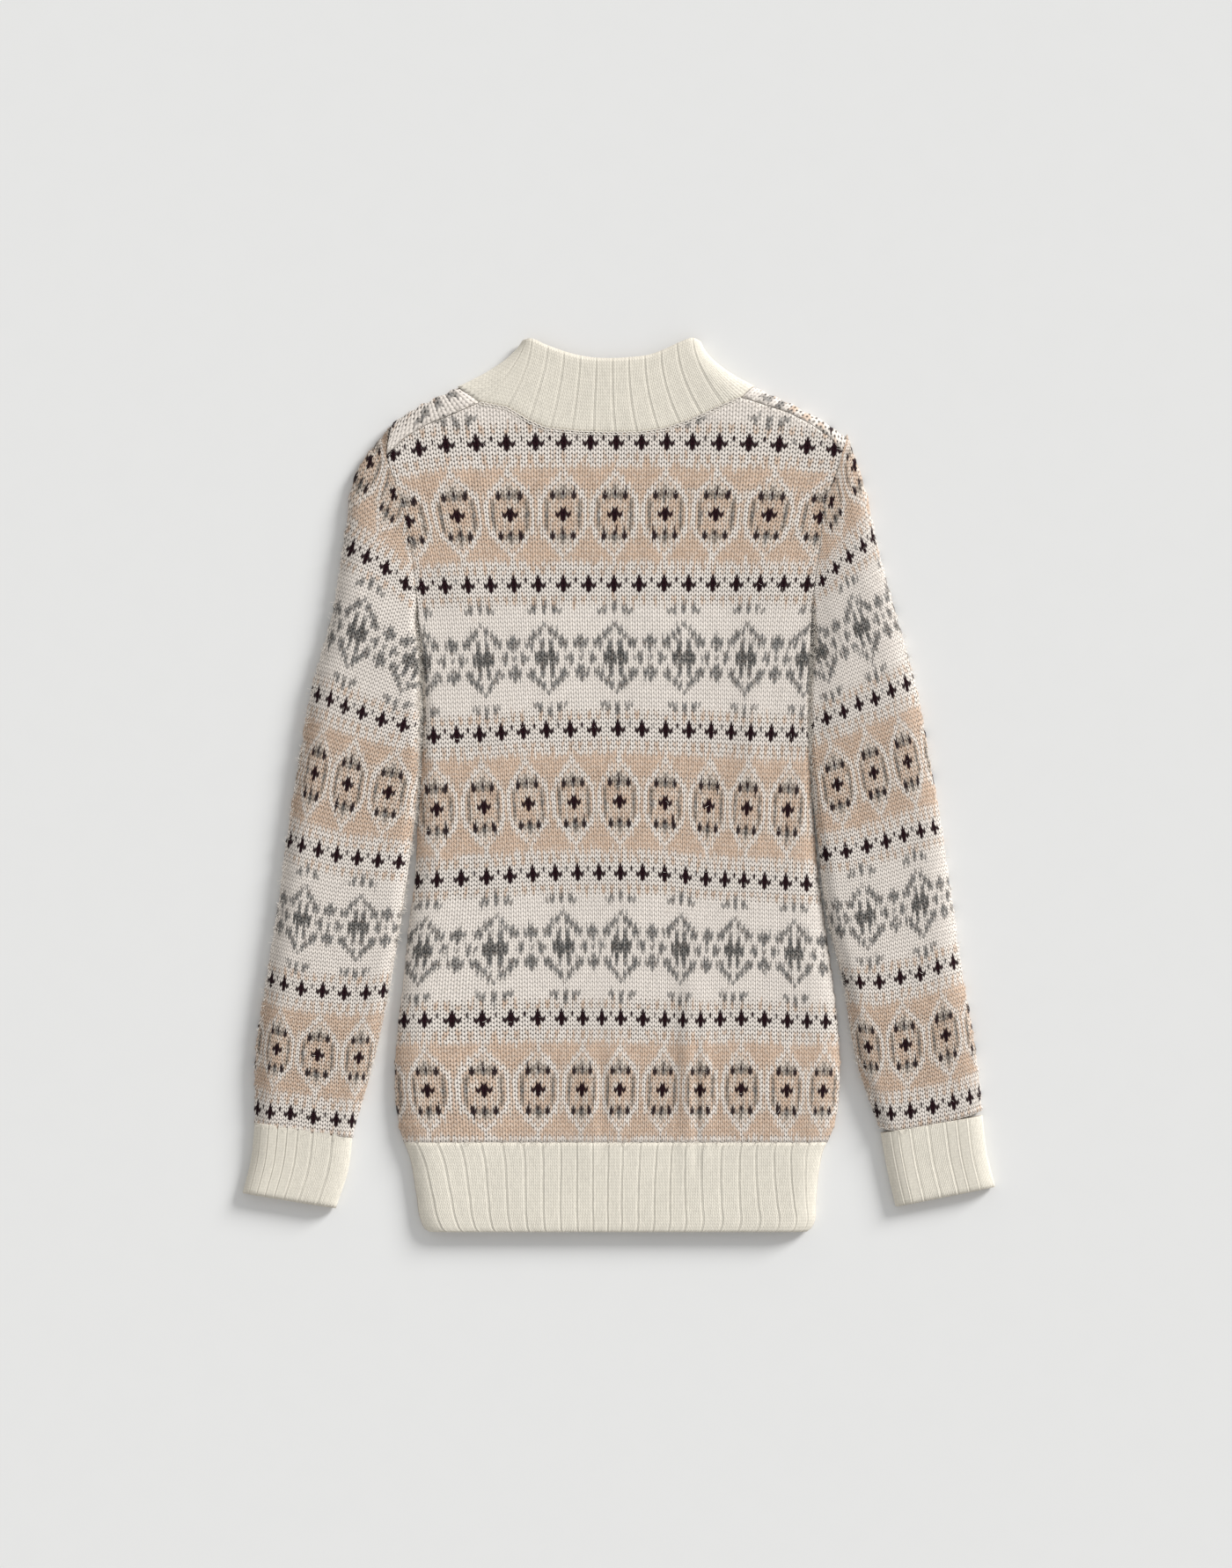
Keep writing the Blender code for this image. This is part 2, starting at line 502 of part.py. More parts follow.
def collar_row(t, where, seam, top, gap):
    """One row round the collar: -1 to 1 crosses behind the neck, beyond that it runs underneath."""
    points, normals = [], []
    low_x, low_up = [p.x for p in seam], [p.up for p in seam]
    high_x, high_up = [p.x for p in top], [p.up for p in top]
    centre = BAND_WIDTH / MM / 2 + SEAM_GAP / MM
    bow = COLLAR_BOW * 4 * t * (1 - t)
    ends = []
    for k in (0, -1):
        ends.append((low_x[k] + t * (high_x[k] - low_x[k]) + (bow if k == 0 else -bow),
                     low_up[k] + t * (high_up[k] - low_up[k])))
    for w in where:
        sign = -1.0 if w < 0 else 1.0
        fold_x = ends[0 if w < 0 else 1][0]
        end_low = (low_x[0], low_up[0]) if w < 0 else (low_x[-1], low_up[-1])
        end_high = (high_x[0], high_up[0]) if w < 0 else (high_x[-1], high_up[-1])
        if abs(w) <= 1:
            s = (w + 1) / 2
            a = low_x[0] + s * (low_x[-1] - low_x[0])
            b = high_x[0] + s * (high_x[-1] - high_x[0])
            low = np.interp(a, low_x, low_up) + gap
            high = np.interp(b, high_x, high_up)
            x = ends[0][0] + s * (ends[1][0] - ends[0][0])
            distance = (1 - abs(w)) * (ends[1][0] - ends[0][0]) / 2
            sine, c = upper_edge(distance * MM, COLLAR_ROUND)
            z = FOLD_HEIGHT + (BODY_HEIGHT - FOLD_HEIGHT) * sine
            normal = np.array([sign * c * 0.85, c * 0.5, sine])
        else:
            s = abs(w) - 1
            a = end_low[0] + s * (sign * centre - end_low[0])
            b = end_high[0] + s * (sign * centre - end_high[0])
            low = neck_front(a, end_low[0], end_low[1], NECK_FRONT_UP) + gap
            high = neck_front(b, end_high[0], end_high[1], COLLAR_FRONT_UP)
            x = fold_x + s * (sign * centre - fold_x)
            sine, c = upper_edge(abs(x - fold_x) * MM, UNDER_ROUND)
            side = "left" if w < 0 else "right"
            z = FOLD_HEIGHT * (1 - sine) + lift(side, x)
            normal = np.array([sign * c * 0.85, c * 0.5, -sine])
        up = low + t * (high - low)
        points.append([x * MM, up * MM, z])
        normals.append(normal / np.linalg.norm(normal))
    return points, normals


Station = namedtuple("Station", "t outer_x outer_up inner_x inner_up height floor")


def ring_rows(table, count):
    """Cross rows spaced evenly along a sleeve or cuff, smoothly through its table."""
    stations = [Station(k, *row) for k, row in enumerate(table)]
    at = np.linspace(0, len(table) - 1, count)
    columns = [along(stations, "t", key, at) for key in Station._fields[1:]]
    return list(zip(at / (len(table) - 1), *columns))


def tube_angles(width, inner_round, outer_round, over, under):
    """Columns round a flattened tube as (share across, upper or lower, sine, inner cosine, outer)."""
    columns = []
    for share in over:
        from_inner, from_outer = share * width, (1 - share) * width
        s_in, c_in = upper_edge(from_inner, inner_round)
        s_out, c_out = upper_edge(from_outer, outer_round)
        columns.append((share, 1.0, s_in * s_out, c_in, c_out))
    for share in under:
        from_inner, from_outer = share * width, (1 - share) * width
        s_in, c_in = upper_edge(from_inner, UNDER_ROUND)
        s_out, c_out = upper_edge(from_outer, UNDER_ROUND)
        columns.append((share, -1.0, s_in * s_out, c_in, c_out))
    return columns


def tube(name, rows, over, under, rounds, thickness, colour, shift=None, relief=None):
    """A flattened tube through cross rows: a rounded wall above, a flat one on the table."""
    outer, inner = [], []
    for t, ox, oup, ix, iup, height, floor in rows:
        a, b = np.array([ix, iup]) * MM, np.array([ox, oup]) * MM
        across = b - a
        width = np.linalg.norm(across)
        heading = across / width
        out_row, in_row = [], []
        angles = tube_angles(width, rounds[0], rounds[1], over(width), under(width))
        for k, (share, face, sine, c_in, c_out) in enumerate(angles):
            plan = a + share * across
            if shift is not None:
                plan = plan + shift(t, share)
            lean = heading * (c_out - c_in)
            if face > 0:
                z = FOLD_HEIGHT + (height * MM - FOLD_HEIGHT) * sine
                wall_here = thickness
            else:
                z = FOLD_HEIGHT * (1 - sine)
                near = min(share, 1 - share) * width / MM
                wall_here = thickness + (floor * MM - thickness) * ramp(near, 8, 26)
            normal = unit(np.array([lean[0], lean[1], face * sine]))
            point = np.array([plan[0], plan[1], z])
            sunk = relief(k) if relief is not None and face > 0 else 0.0
            out_row.append(point - normal * sunk * sine)
            in_row.append(point - normal * wall_here)
        outer.append(out_row)
        inner.append(in_row)
    return wall(name, np.array(outer), np.array(inner), colour, closed=True)


def spread(inner_round, outer_round, angles, middle):
    """Shares across a tube: at the given angles of both rounds, and evenly between them."""
    def shares(width):
        first = [d / width for d in round_steps(inner_round, angles)]
        last = [1 - d / width for d in reversed(round_steps(outer_round, angles))]
        between = np.linspace(first[-1], last[0], middle + 2)[1:-1]
        return [*first, *between, *last]
    return shares


def back_again(shares_of):
    """The lower wall's shares, from the outer fold back to the inner one."""
    def shares(width):
        return list(reversed(shares_of(width)))[1:-1]
    return shares


def sleeve(side):
    """A set-in sleeve: a flattened tube whose upper end follows the armhole."""
    sign = SIGN[side]
    table = LEFT_SLEEVE if side == "left" else RIGHT_SLEEVE
    last = table[-1]

    def to_armhole(t, share):
        up = last.inner_up + share * (last.outer_up - last.inner_up)
        level = last.inner_x + share * (last.outer_x - last.inner_x)
        x = side_x(side, up) + sign * ARMHOLE_GAP / MM
        strength = ramp(t, 0.55 + 0.35 * ramp(share, 0.8, 0.96), 1.0)
        return np.array([(x - level) * MM * strength, 0.0])

    over = spread(SLEEVE_INNER_ROUND, SLEEVE_OUTER_ROUND, (0, 25, 50, 90), 6)
    under = back_again(spread(UNDER_ROUND, UNDER_ROUND, (0, 45, 90), 7))
    rounds = (SLEEVE_INNER_ROUND, SLEEVE_OUTER_ROUND)
    return tube(f"sleeve_{side}", ring_rows(table, 20), over, under, rounds, WALL, JACQUARD,
                shift=to_armhole)


def cuff(side):
    """A ribbed cuff: a flattened tube that carries on from the sleeve."""
    table = LEFT_CUFF if side == "left" else RIGHT_CUFF
    ribs = rib_columns(CUFF_RIBS)
    under = back_again(spread(UNDER_ROUND, UNDER_ROUND, (0, 45, 90), 2))
    return tube(f"cuff_{side}", ring_rows(table, 4), lambda width: list(ribs / CUFF_RIBS), under,
                (CUFF_ROUND, CUFF_ROUND), RIB_WALL, RIB_KNIT,
                relief=lambda k: float(rib_relief(ribs[k], RIB_DEPTH)))


def button_heights():
    return np.linspace(FIRST_BUTTON_UP, LAST_BUTTON_UP, BUTTONS)


def disc(name, radius, low, high, up, colour=None):
    """An upright round plug on the centre front."""
    mesh = bmesh.new()
    bmesh.ops.create_cone(mesh, cap_ends=True, segments=BUTTON_SIDES, radius1=radius, radius2=radius,
                          depth=high - low)
    bmesh.ops.translate(mesh, verts=mesh.verts, vec=(0.0, up * MM, (low + high) / 2))
    if colour is None:
        data = bpy.data.meshes.new(name)
        mesh.to_mesh(data)
        mesh.free()
        made = bpy.data.objects.new(name, data)
        bpy.context.scene.collection.objects.link(made)
        made.hide_render = True
        made.display_type = "WIRE"
        return made
    return finish(name, mesh, colour)


def band(side):
    """A front band: the right one lies on the table and has a seat for each button."""
    low = 0.0 if side == "right" else BAND_WALL + SEAM_GAP
    mesh = bmesh.new()
    bmesh.ops.create_cube(mesh, size=1.0)
    length = COLLAR_FRONT_UP * MM
    bmesh.ops.scale(mesh, vec=(BAND_WIDTH, length, BAND_WALL), verts=mesh.verts)
    bmesh.ops.translate(mesh, verts=mesh.verts, vec=(0.0, length / 2, low + BAND_WALL / 2))
    made = finish(f"band_{side}", mesh, RIB_KNIT)
    if side == "right":
        depth = BUTTON_THICK + BUTTON_PLAY
        for k, up in enumerate(button_heights()):
            seat = disc(f"seat_{k + 1}", BUTTON_RADIUS + BUTTON_PLAY, -depth, depth, up)
            cut = made.modifiers.new(f"seat_{k + 1}", "BOOLEAN")
            cut.operation = "DIFFERENCE"
            cut.object = seat
    return made


def button(number, up):
    """A flat round button, sewn to the left band and showing through the right one."""
    mesh = bmesh.new()
    steps = [(0.0, 0.5), (0.62, 0.5), (0.74, 0.0), (1.0, 0.0), (1.0, 2.2), (0.0, 2.2)]
    profile = [mesh.verts.new((r * BUTTON_RADIUS, 0.0, z * MM)) for r, z in steps]
    edges = [mesh.edges.new(pair) for pair in zip(profile, profile[1:])]
    bmesh.ops.spin(mesh, geom=profile + edges, cent=(0, 0, 0), axis=(0, 0, 1), angle=2 * pi,
                   steps=BUTTON_SIDES, use_merge=True)
    bmesh.ops.remove_doubles(mesh, verts=mesh.verts, dist=0.00001)
    bmesh.ops.translate(mesh, verts=mesh.verts, vec=(0.0, up * MM, 0.0))
    bmesh.ops.recalc_face_normals(mesh, faces=mesh.faces)
    return finish(f"button_{number}", mesh, HORN)


def centre_on_origin(made):
    """Moves every piece so that the middle of the garment's base is at the origin."""
    points = np.array([tuple(v.co) for piece in made for v in piece.data.vertices])
    low, high = points.min(axis=0), points.max(axis=0)
    shift = (-(low[0] + high[0]) / 2, -(low[1] + high[1]) / 2, -low[2])
    for piece in bpy.data.objects:
        for v in piece.data.vertices:
            v.co.x += shift[0]
            v.co.y += shift[1]
            v.co.z += shift[2]


def main():
    for old in list(bpy.data.objects):
        bpy.data.objects.remove(old, do_unlink=True)
    made = [back(), hem_back(), collar()]
    for side in ("left", "right"):
        made += [front(side), hem_front(side), band(side), sleeve(side), cuff(side)]
    made += [button(k + 1, up) for k, up in enumerate(button_heights())]
    centre_on_origin(made)


main()
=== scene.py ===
import bmesh
import bpy
import numpy as np
from math import pi
from mathutils import Matrix, Vector
from mathutils.geometry import delaunay_2d_cdt


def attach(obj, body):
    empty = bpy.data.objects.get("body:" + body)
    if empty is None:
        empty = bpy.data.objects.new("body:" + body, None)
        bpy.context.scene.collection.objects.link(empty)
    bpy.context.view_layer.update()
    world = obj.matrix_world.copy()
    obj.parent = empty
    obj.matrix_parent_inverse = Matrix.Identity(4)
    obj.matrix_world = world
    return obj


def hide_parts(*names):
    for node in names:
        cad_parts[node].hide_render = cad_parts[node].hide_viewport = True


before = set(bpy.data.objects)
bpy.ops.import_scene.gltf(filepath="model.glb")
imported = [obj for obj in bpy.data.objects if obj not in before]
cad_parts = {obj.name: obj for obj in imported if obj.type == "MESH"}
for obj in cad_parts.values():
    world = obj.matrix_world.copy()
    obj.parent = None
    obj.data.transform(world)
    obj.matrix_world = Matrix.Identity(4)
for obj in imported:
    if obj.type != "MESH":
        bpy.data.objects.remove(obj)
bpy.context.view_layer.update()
scene = bpy.context.scene
random = np.random.default_rng(7)

# The garment lies on its front. Plan tables are in millimetres: x across from the middle of the back,
# up from the hem's edge. Stitches are counted across from the centre wale, rows up from the rib.
middle = (-0.3, -344.7)      # the garment's middle, moved to the origin
# walls, how far a row zigzags in rows, how high a leg stands and how far the cloth dips at a seam
knit = {"wall": 3.4, "zigzag": 0.9, "leg": 0.32, "seamDip": 0.25}
rib = {"wall": 3.2, "leg": 0.13, "depth": 0.35, "groove": 0.055, "beside": 0.18, "row": 2.5, "stitches": 6}
bodyHeight = 10.6      # top of the back
foldHeight = 4.0       # the widest line of every fold
underRound = 6.0       # reach of a fold's rounding on the table side
underarmUp = 476.0
hemUp = 69.2
bandEdge = 15.3        # from the middle to where the fronts meet the bands
bandLift = 3.3         # the left band lies this high, on the right one
neckLow, bandTop = 572.0, 627.0
closeArm = (270, 390)      # the heights between which the sleeves come to lie against the body

# the yarns: colour, how softly they run into their neighbours and how much nap lies over them
yarnLooks = {
    "white": ((0.835, 0.765, 0.695), 0.30, 0.05), "tan": ((0.640, 0.470, 0.350), 0.55, 0.40),
    "grey": ((0.190, 0.185, 0.178), 0.45, 0.35), "deep": ((0.095, 0.094, 0.090), 0.35, 0.25),
    "dark": ((0.016, 0.002, 0.005), 0.04, 0.0), "corner": ((0.018, 0.006, 0.009), 0.08, 0.04),
    "taupe": ((0.250, 0.205, 0.165), 0.60, 0.50), "cream": ((0.784, 0.735, 0.633), 0.30, 0.02),
    "floats": ((0.62, 0.54, 0.45), 0.5, 0.2), "pale": ((0.800, 0.710, 0.620), 0.40, 0.25),
}
white, tan, grey, deep, dark, corner, taupe, cream, floats, pale = range(10)
yarns = np.array([look[0] for look in yarnLooks.values()])
softness = np.array([look[1] for look in yarnLooks.values()])
napOver = np.array([look[2] for look in yarnLooks.values()])

# the outline of the body, left and right: height and x
leftSide = np.array([(69.2, -165.9), (76.8, -168.2), (95.9, -171.4), (118.3, -172.7), (159.1, -170.0),
                     (193.1, -165.9), (232.6, -162.1), (271.3, -157.1), (310.8, -155.0), (369.2, -151.6),
                     (434.5, -151.0), (475.3, -154.4), (509.3, -157.8), (532.4, -160.5), (553.5, -165.5),
                     (569.2, -169.0), (586.2, -175.0), (599.1, -178.8), (611.3, -176.8), (626.3, -172.7)])
rightSide = np.array([(69.2, 161.2), (76.8, 164.6), (95.9, 169.0), (118.3, 170.7), (159.1, 169.0),
                      (193.1, 165.2), (232.6, 159.8), (271.3, 154.4), (310.8, 151.0), (369.2, 147.6),
                      (434.5, 147.2), (475.3, 148.6), (509.3, 152.3), (532.4, 155.4), (553.5, 157.6),
                      (569.2, 161.0), (586.2, 168.0), (601.8, 172.4), (607.5, 174.2), (613.4, 176.1)])
leftHem = np.array([(0.0, -146.5), (2.2, -149.6), (6.8, -152.0), (28.6, -156.1), (61.9, -162.8),
                    (69.2, -165.9)])
rightHem = np.array([(0.0, 145.5), (2.2, 148.4), (6.8, 151.0), (21.8, 152.3), (48.6, 155.0),
                     (66.0, 159.4), (69.2, 161.2)])
# the back's top edge over shoulders and neck, the shoulder folds and the collar's edge: x and height
backTop = np.array([(-178.8, 599.1), (-164.6, 612.7), (-147.6, 622.5), (-127.8, 630.4), (-107.4, 639.5),
                    (-86.4, 635.5), (-68.7, 624.9), (-56.4, 619.6), (-30.6, 616.8), (-5.8, 616.1),
                    (15.6, 616.4), (35.4, 619.1), (52.8, 624.9), (76.8, 635.8), (94.5, 643.5),
                    (130.6, 631.7), (146.9, 623.6), (161.2, 614.0), (172.4, 601.8)])
leftFold = np.array([(-172.7, 626.3), (-150.6, 640.2), (-124.4, 652.1)])
rightFold = np.array([(104.7, 652.8), (139.3, 636.6), (161.2, 624.4), (176.1, 613.4)])
collarTop = np.array([(-74.5, 687.8), (-68.3, 689.2), (-57.3, 684.8), (-46.4, 680.7), (-35.5, 677.3),
                      (-23.1, 674.8), (-7.5, 673.9), (8.2, 674.6), (23.8, 676.6), (36.4, 681.2),
                      (48.8, 687.0), (57.1, 689.6), (63.6, 687.2)])
neckLeft, neckRight = -107.4, 94.5

# soft folds and swellings of the back: x, up, half width, half length, height
backFolds = [
    (53, 130, 7, 60, 2.4), (66, 120, 6, 48, 1.7), (60, 190, 9, 50, 1.0), (-22, 108, 9, 34, 1.7),
    (-4, 118, 8, 40, 1.4), (103, 372, 11, 60, 1.2), (-120, 105, 26, 24, 1.4), (118, 112, 24, 26, 1.3),
    (-90, 300, 20, 90, 0.8), (30, 455, 26, 70, 0.7), (60, 104, 3.5, 40, -1.2), (-13, 104, 4, 26, -1.0),
    (-60, 420, 34, 60, 0.6), (10, 300, 22, 60, 0.6), (-120, 500, 20, 60, 0.6), (112, 520, 24, 60, 0.7),
]

# Where wales and rows lie on the body: {row: (stitch, x, up)}.
bodyMarks = {
    0: [(-45, -159.8, 68.9), (-40, -144.8, 69.0), (-30, -102.0, 69.2), (-20, -61.9, 69.2), (-10, -29.2, 69.2),
        (0, 0, 69.2), (10, 32.0, 69.2), (20, 62.6, 69.2), (30, 94.5, 69.2), (40, 129.2, 69.0),
        (50, 155.7, 68.9)],
    28: [(-45, -165.3, 162.5), (-40, -149.7, 162.9), (-30, -105.1, 163.5), (-20, -62.2, 164.6),
         (-10, -27.5, 164.6), (0, 1.6, 164.6), (10, 35.6, 163.5), (20, 63.1, 163.2), (30, 94.5, 164.2),
         (40, 130.1, 162.5), (50, 159.5, 161.8)],
    62: [(-45, -155.2, 270.0), (-40, -140.1, 271.0), (-30, -101.7, 273.0), (-20, -66.1, 275.4),
         (-10, -31.6, 276.4), (0, 1.4, 276.6), (10, 35.4, 275.5), (20, 67.2, 272.0), (30, 96.5, 270.6),
         (40, 128.7, 268.9)],
    94: [(-40, -142.5, 381.8), (-30, -107.1, 383.2), (-20, -73.5, 385.6), (-10, -37.2, 386.9),
         (0, -0.5, 387.6), (10, 36.3, 386.6), (20, 71.3, 385.9), (30, 101.7, 384.2), (40, 133.5, 383.5)],
    128: [(-40, -151.3, 496.4), (-30, -116.1, 497.8), (-20, -80.7, 498.4), (-10, -42.6, 498.8),
          (0, -3.6, 498.8), (10, 35.0, 499.1), (20, 72.6, 499.1), (30, 108.7, 499.1), (40, 145.2, 498.8)],
    160: [(-40, -174.1, 599.8), (-30, -132.9, 606.2), (-20, -86.4, 607.6), (-10, -42.3, 608.3),
          (0, -1.8, 608.3), (10, 37.2, 608.3), (20, 77.5, 607.9), (30, 123.6, 606.6), (40, 166.3, 603.2)],
    200: [(-40, -187.0, 736.0), (-30, -144.0, 740.0), (-20, -93.0, 741.0), (-10, -42.0, 741.0),
          (0, 0, 741.0), (10, 40.0, 741.0), (20, 82.0, 741.0), (30, 135.0, 740.0), (40, 180.0, 736.0)],
}
leftMarks = {
    4: [(-15, -278.3, 94.8), (-10, -268.7, 92.0), (-5, -253.0, 91.0), (0, -235.3, 88.2), (5, -217.5, 86.3),
        (10, -205.7, 85.2)],
    36: [(-15, -267.6, 194.0), (-10, -257.8, 191.0), (-5, -244.5, 187.2), (0, -228.1, 185.7),
         (5, -211.3, 183.9), (10, -194.6, 184.1), (15, -181.4, 185.6)],
    70: [(-15, -253.5, 301.5), (-10, -244.3, 297.7), (-5, -231.3, 294.2), (0, -217.3, 290.1),
         (5, -201.3, 287.8), (10, -185.5, 286.0), (15, -169.3, 284.8)],
    102: [(-15, -231.9, 413.6), (-10, -222.5, 410.3), (-5, -211.0, 404.6), (0, -197.7, 400.2),
          (5, -182.6, 394.5), (10, -166.1, 390.2)],
    136: [(-15, -206.2, 526.0), (-10, -194.6, 519.9), (-5, -179.5, 511.4), (0, -164.3, 499.3)],
    152: [(-20, -191.8, 594.3), (-10, -173.4, 569.2), (0, -156.0, 543.0)],
    168: [(-20, -180.0, 634.0), (-15, -175.5, 627.0), (-10, -170.0, 619.0)],
}
rightMarks = {
    4: [(-20, 278.1, 106.1), (-15, 270.8, 103.4), (-10, 258.1, 99.6), (-5, 242.1, 96.2), (0, 224.9, 92.8),
        (5, 209.8, 91.0), (10, 199.1, 93.1)],
    36: [(-15, 258.1, 207.4), (-10, 245.9, 203.9), (-5, 232.2, 198.6), (0, 216.9, 196.0), (5, 200.7, 192.5),
         (10, 185.8, 192.2), (15, 174.1, 193.8)],
    70: [(-15, 243.2, 311.4), (-10, 232.8, 308.8), (-5, 219.6, 305.7), (0, 206.0, 300.8), (5, 191.2, 297.0),
         (10, 175.2, 293.1), (15, 159.7, 290.8)],
    102: [(-15, 221.7, 422.1), (-10, 210.3, 417.0), (-5, 197.5, 410.6), (0, 185.0, 406.6), (5, 173.5, 400.7),
          (10, 160.2, 395.7), (15, 146.6, 389.1)],
    136: [(-20, 196.5, 535.2), (-15, 188.7, 528.4), (-10, 177.8, 519.9), (-5, 167.3, 511.4),
          (0, 157.1, 501.8)],
    152: [(-20, 182.0, 592.0), (-10, 164.0, 563.0), (0, 148.5, 536.0)],
    168: [(-20, 176.0, 628.0), (-15, 170.5, 621.0), (-10, 164.0, 612.0)],
}
# sleeves from cuff to armhole: outer fold x and up, inner fold x and up, height
leftSleeve = np.array([
    (-281.0, 84.5, -204.7, 76.8, 10.8), (-280.2, 138.7, -190.0, 127.2, 12.6),
    (-272.0, 195.2, -177.5, 184.3, 13.4),
    (-263.2, 251.0, -168.0, 238.7, 13.2), (-255.0, 312.1, -160.3, 293.1, 13.0),
    (-246.8, 363.1, -155.0, 335.9, 13.4), (-237.4, 417.5, -153.2, 376.7, 13.6),
    (-221.5, 475.3, -152.8, 424.3, 13.4), (-210.8, 543.3, -153.8, 451.5, 12.8),
    (-202.0, 587.5, -155.6, 466.5, 12.0), (-173.9, 625.9, -155.2, 475.6, 10.6)])
rightSleeve = np.array([
    (281.2, 90.4, 202.0, 76.8, 10.8), (275.4, 142.1, 184.3, 129.2, 12.6), (263.8, 208.8, 172.7, 194.5, 13.4),
    (256.4, 263.2, 159.6, 248.5, 13.2), (248.2, 318.9, 154.0, 297.2, 13.0), (240.0, 365.2, 150.0, 335.9, 13.4),
    (230.5, 417.5, 148.1, 381.5, 13.6), (215.6, 471.9, 148.4, 426.4, 13.4), (200.6, 526.3, 151.2, 451.5, 12.8),
    (189.7, 576.0, 151.0, 465.8, 12.0), (177.2, 613.0, 149.9, 476.0, 10.6)])
leftCuff = np.array([(-281.0, 84.0, -204.7, 76.3, 10.8), (-284.0, 56.0, -208.5, 47.0, 9.8),
                     (-290.4, 29.9, -217.9, 18.0, 9.6)])
rightCuff = np.array([(281.2, 89.9, 202.0, 76.3, 10.8), (284.4, 62.0, 206.8, 49.0, 9.8),
                      (291.0, 34.7, 213.5, 19.2, 9.6)])

# rows away from a motif's middle row: {yarn: stitches away from its middle wale}
ovalChart = {
    7: {pale: [0]}, 6: {pale: [-1, 1], taupe: [0]}, 5: {pale: [-2, 0, 2], taupe: [-1, 1]},
    4: {corner: [-2, 2], taupe: [-1, 1], deep: [0]}, 3: {taupe: [-3, 3]}, 2: {taupe: [-3, 3]},
    1: {taupe: [-3, 3], dark: [0]}, 0: {grey: [-3, 3], dark: [-1, 0, 1]},
    -4: {pale: [-2, 2], tan: [-1, 1], taupe: [0]}, -5: {corner: [-2, 2], taupe: [-1, 1], deep: [0]},
}
# how far an oval's outline runs from its middle wale at each row from its middle
ovalReach = [4.4, 4.4, 4.35, 4.2, 3.8, 3.15, 2.45, 1.7, 0.95, 0.2]
diamondChart = {
    13: {grey: [0]}, 12: {grey: [-2, 0, 2]}, 11: {grey: [-3, -2, 0, 2, 3]}, 8: {grey: [0]}, 7: {grey: [-1, 1]},
    6: {grey: [-2, -1, 1, 2]}, 5: {grey: [-3, -2, 2, 3, 7]}, 4: {grey: [-4, -3, -1, 1, 3, 4, 6, 7, 8]},
    3: {grey: [-4, -3, -1, 1, 3, 4, 6, 7, 8]}, 2: {grey: [7], deep: [-1, 1]},
    1: {deep: [-2, -1, 0, 1, 2], grey: [-5, 5]}, 0: {deep: [-2, -1, 0, 1, 2], grey: [-5, -4, 4, 5, 7]},
}
bodyBands = [("oval", 12), ("cross", 28), ("diamond", 45), ("cross", 62), ("oval", 78), ("cross", 94),
             ("diamond", 111), ("cross", 128), ("oval", 144), ("cross", 160), ("diamond", 177)]
sleeveBands = [("cross", 4), ("oval", 20), ("cross", 36), ("diamond", 53), ("cross", 70), ("oval", 86),
               ("cross", 102), ("diamond", 119), ("cross", 136), ("oval", 152), ("cross", 168),
               ("diamond", 185)]


def between(t, step, a, b, slopeA, slopeB):
    # a soft curve from one value to the next, with a slope at each
    return ((2 * t**3 - 3 * t**2 + 1) * a + (t**3 - 2 * t**2 + t) * step * slopeA
            + (3 * t**2 - 2 * t**3) * b + (t**3 - t**2) * step * slopeB)


def smooth(keys, values, at):
    # a soft curve through a table's points
    slopes = np.gradient(values, keys)
    at = np.clip(np.asarray(at, float), keys[0], keys[-1])
    i = np.clip(np.searchsorted(keys, at) - 1, 0, len(keys) - 2)
    step = keys[i + 1] - keys[i]
    return between((at - keys[i]) / step, step, values[i], values[i + 1], slopes[i], slopes[i + 1])


def ramp(value, start, end):
    t = np.clip((value - start) / (end - start), 0, 1)
    return t * t * (3 - 2 * t)


def arc(distance, reach):
    # sine and cosine of an edge's rounding at a distance in from its fold
    c = np.clip(1 - np.asarray(distance) / reach, 0, 1)
    return np.sqrt(1 - c * c), c


def stack(x, y, z):
    return np.stack(np.broadcast_arrays(np.asarray(x, float), y, z), axis=-1)


def unit(v):
    return v / np.maximum(np.linalg.norm(v, axis=-1, keepdims=True), 1e-9)


def place(points):
    # plan millimetres to metres about the garment's middle
    return (points + np.array([middle[0], middle[1], 0.0])) * 0.001


def sideX(side, up):
    table = leftSide if side < 0 else rightSide
    return smooth(table[:, 0], table[:, 1], up)


def makeWarp(marks, low=-95, high=95):
    # where any stitch and row lie in plan, softly between the marked ones
    rows = np.array(sorted(marks), float)
    at = np.arange(low, high + 1)
    table = []
    for row in sorted(marks):
        s, x, up = np.array(marks[row], float).T
        line = []
        for values in (x, up):
            before = values[0] + (at - s[0]) * (values[1] - values[0]) / (s[1] - s[0])
            after = values[-1] + (at - s[-1]) * (values[-1] - values[-2]) / (s[-1] - s[-2])
            line.append(np.where(at < s[0], before, np.where(at > s[-1], after, smooth(s, values, at))))
        table.append(line)
    table = np.array(table)
    slopes = np.gradient(table, rows, axis=0)

    def warp(stitch, row):
        stitch, row = np.broadcast_arrays(np.asarray(stitch, float), np.asarray(row, float))
        i = np.clip(np.searchsorted(rows, row) - 1, 0, len(rows) - 2)
        m = np.clip(np.floor(stitch).astype(int) - low, 0, len(at) - 2)
        part = stitch - low - m
        step = rows[i + 1] - rows[i]
        t = (row - rows[i]) / step
        beyond = t - np.clip(t, 0, 1)
        t = np.clip(t, 0, 1)
        found = []
        for axis in (0, 1):
            ends = [grid[k, axis, m] * (1 - part) + grid[k, axis, m + 1] * part
                    for grid, k in ((table, i), (table, i + 1), (slopes, i), (slopes, i + 1))]
            found.append(between(t, step, *ends) + beyond * step * np.where(beyond < 0, *ends[2:]))
        return found[0], found[1]
    return warp


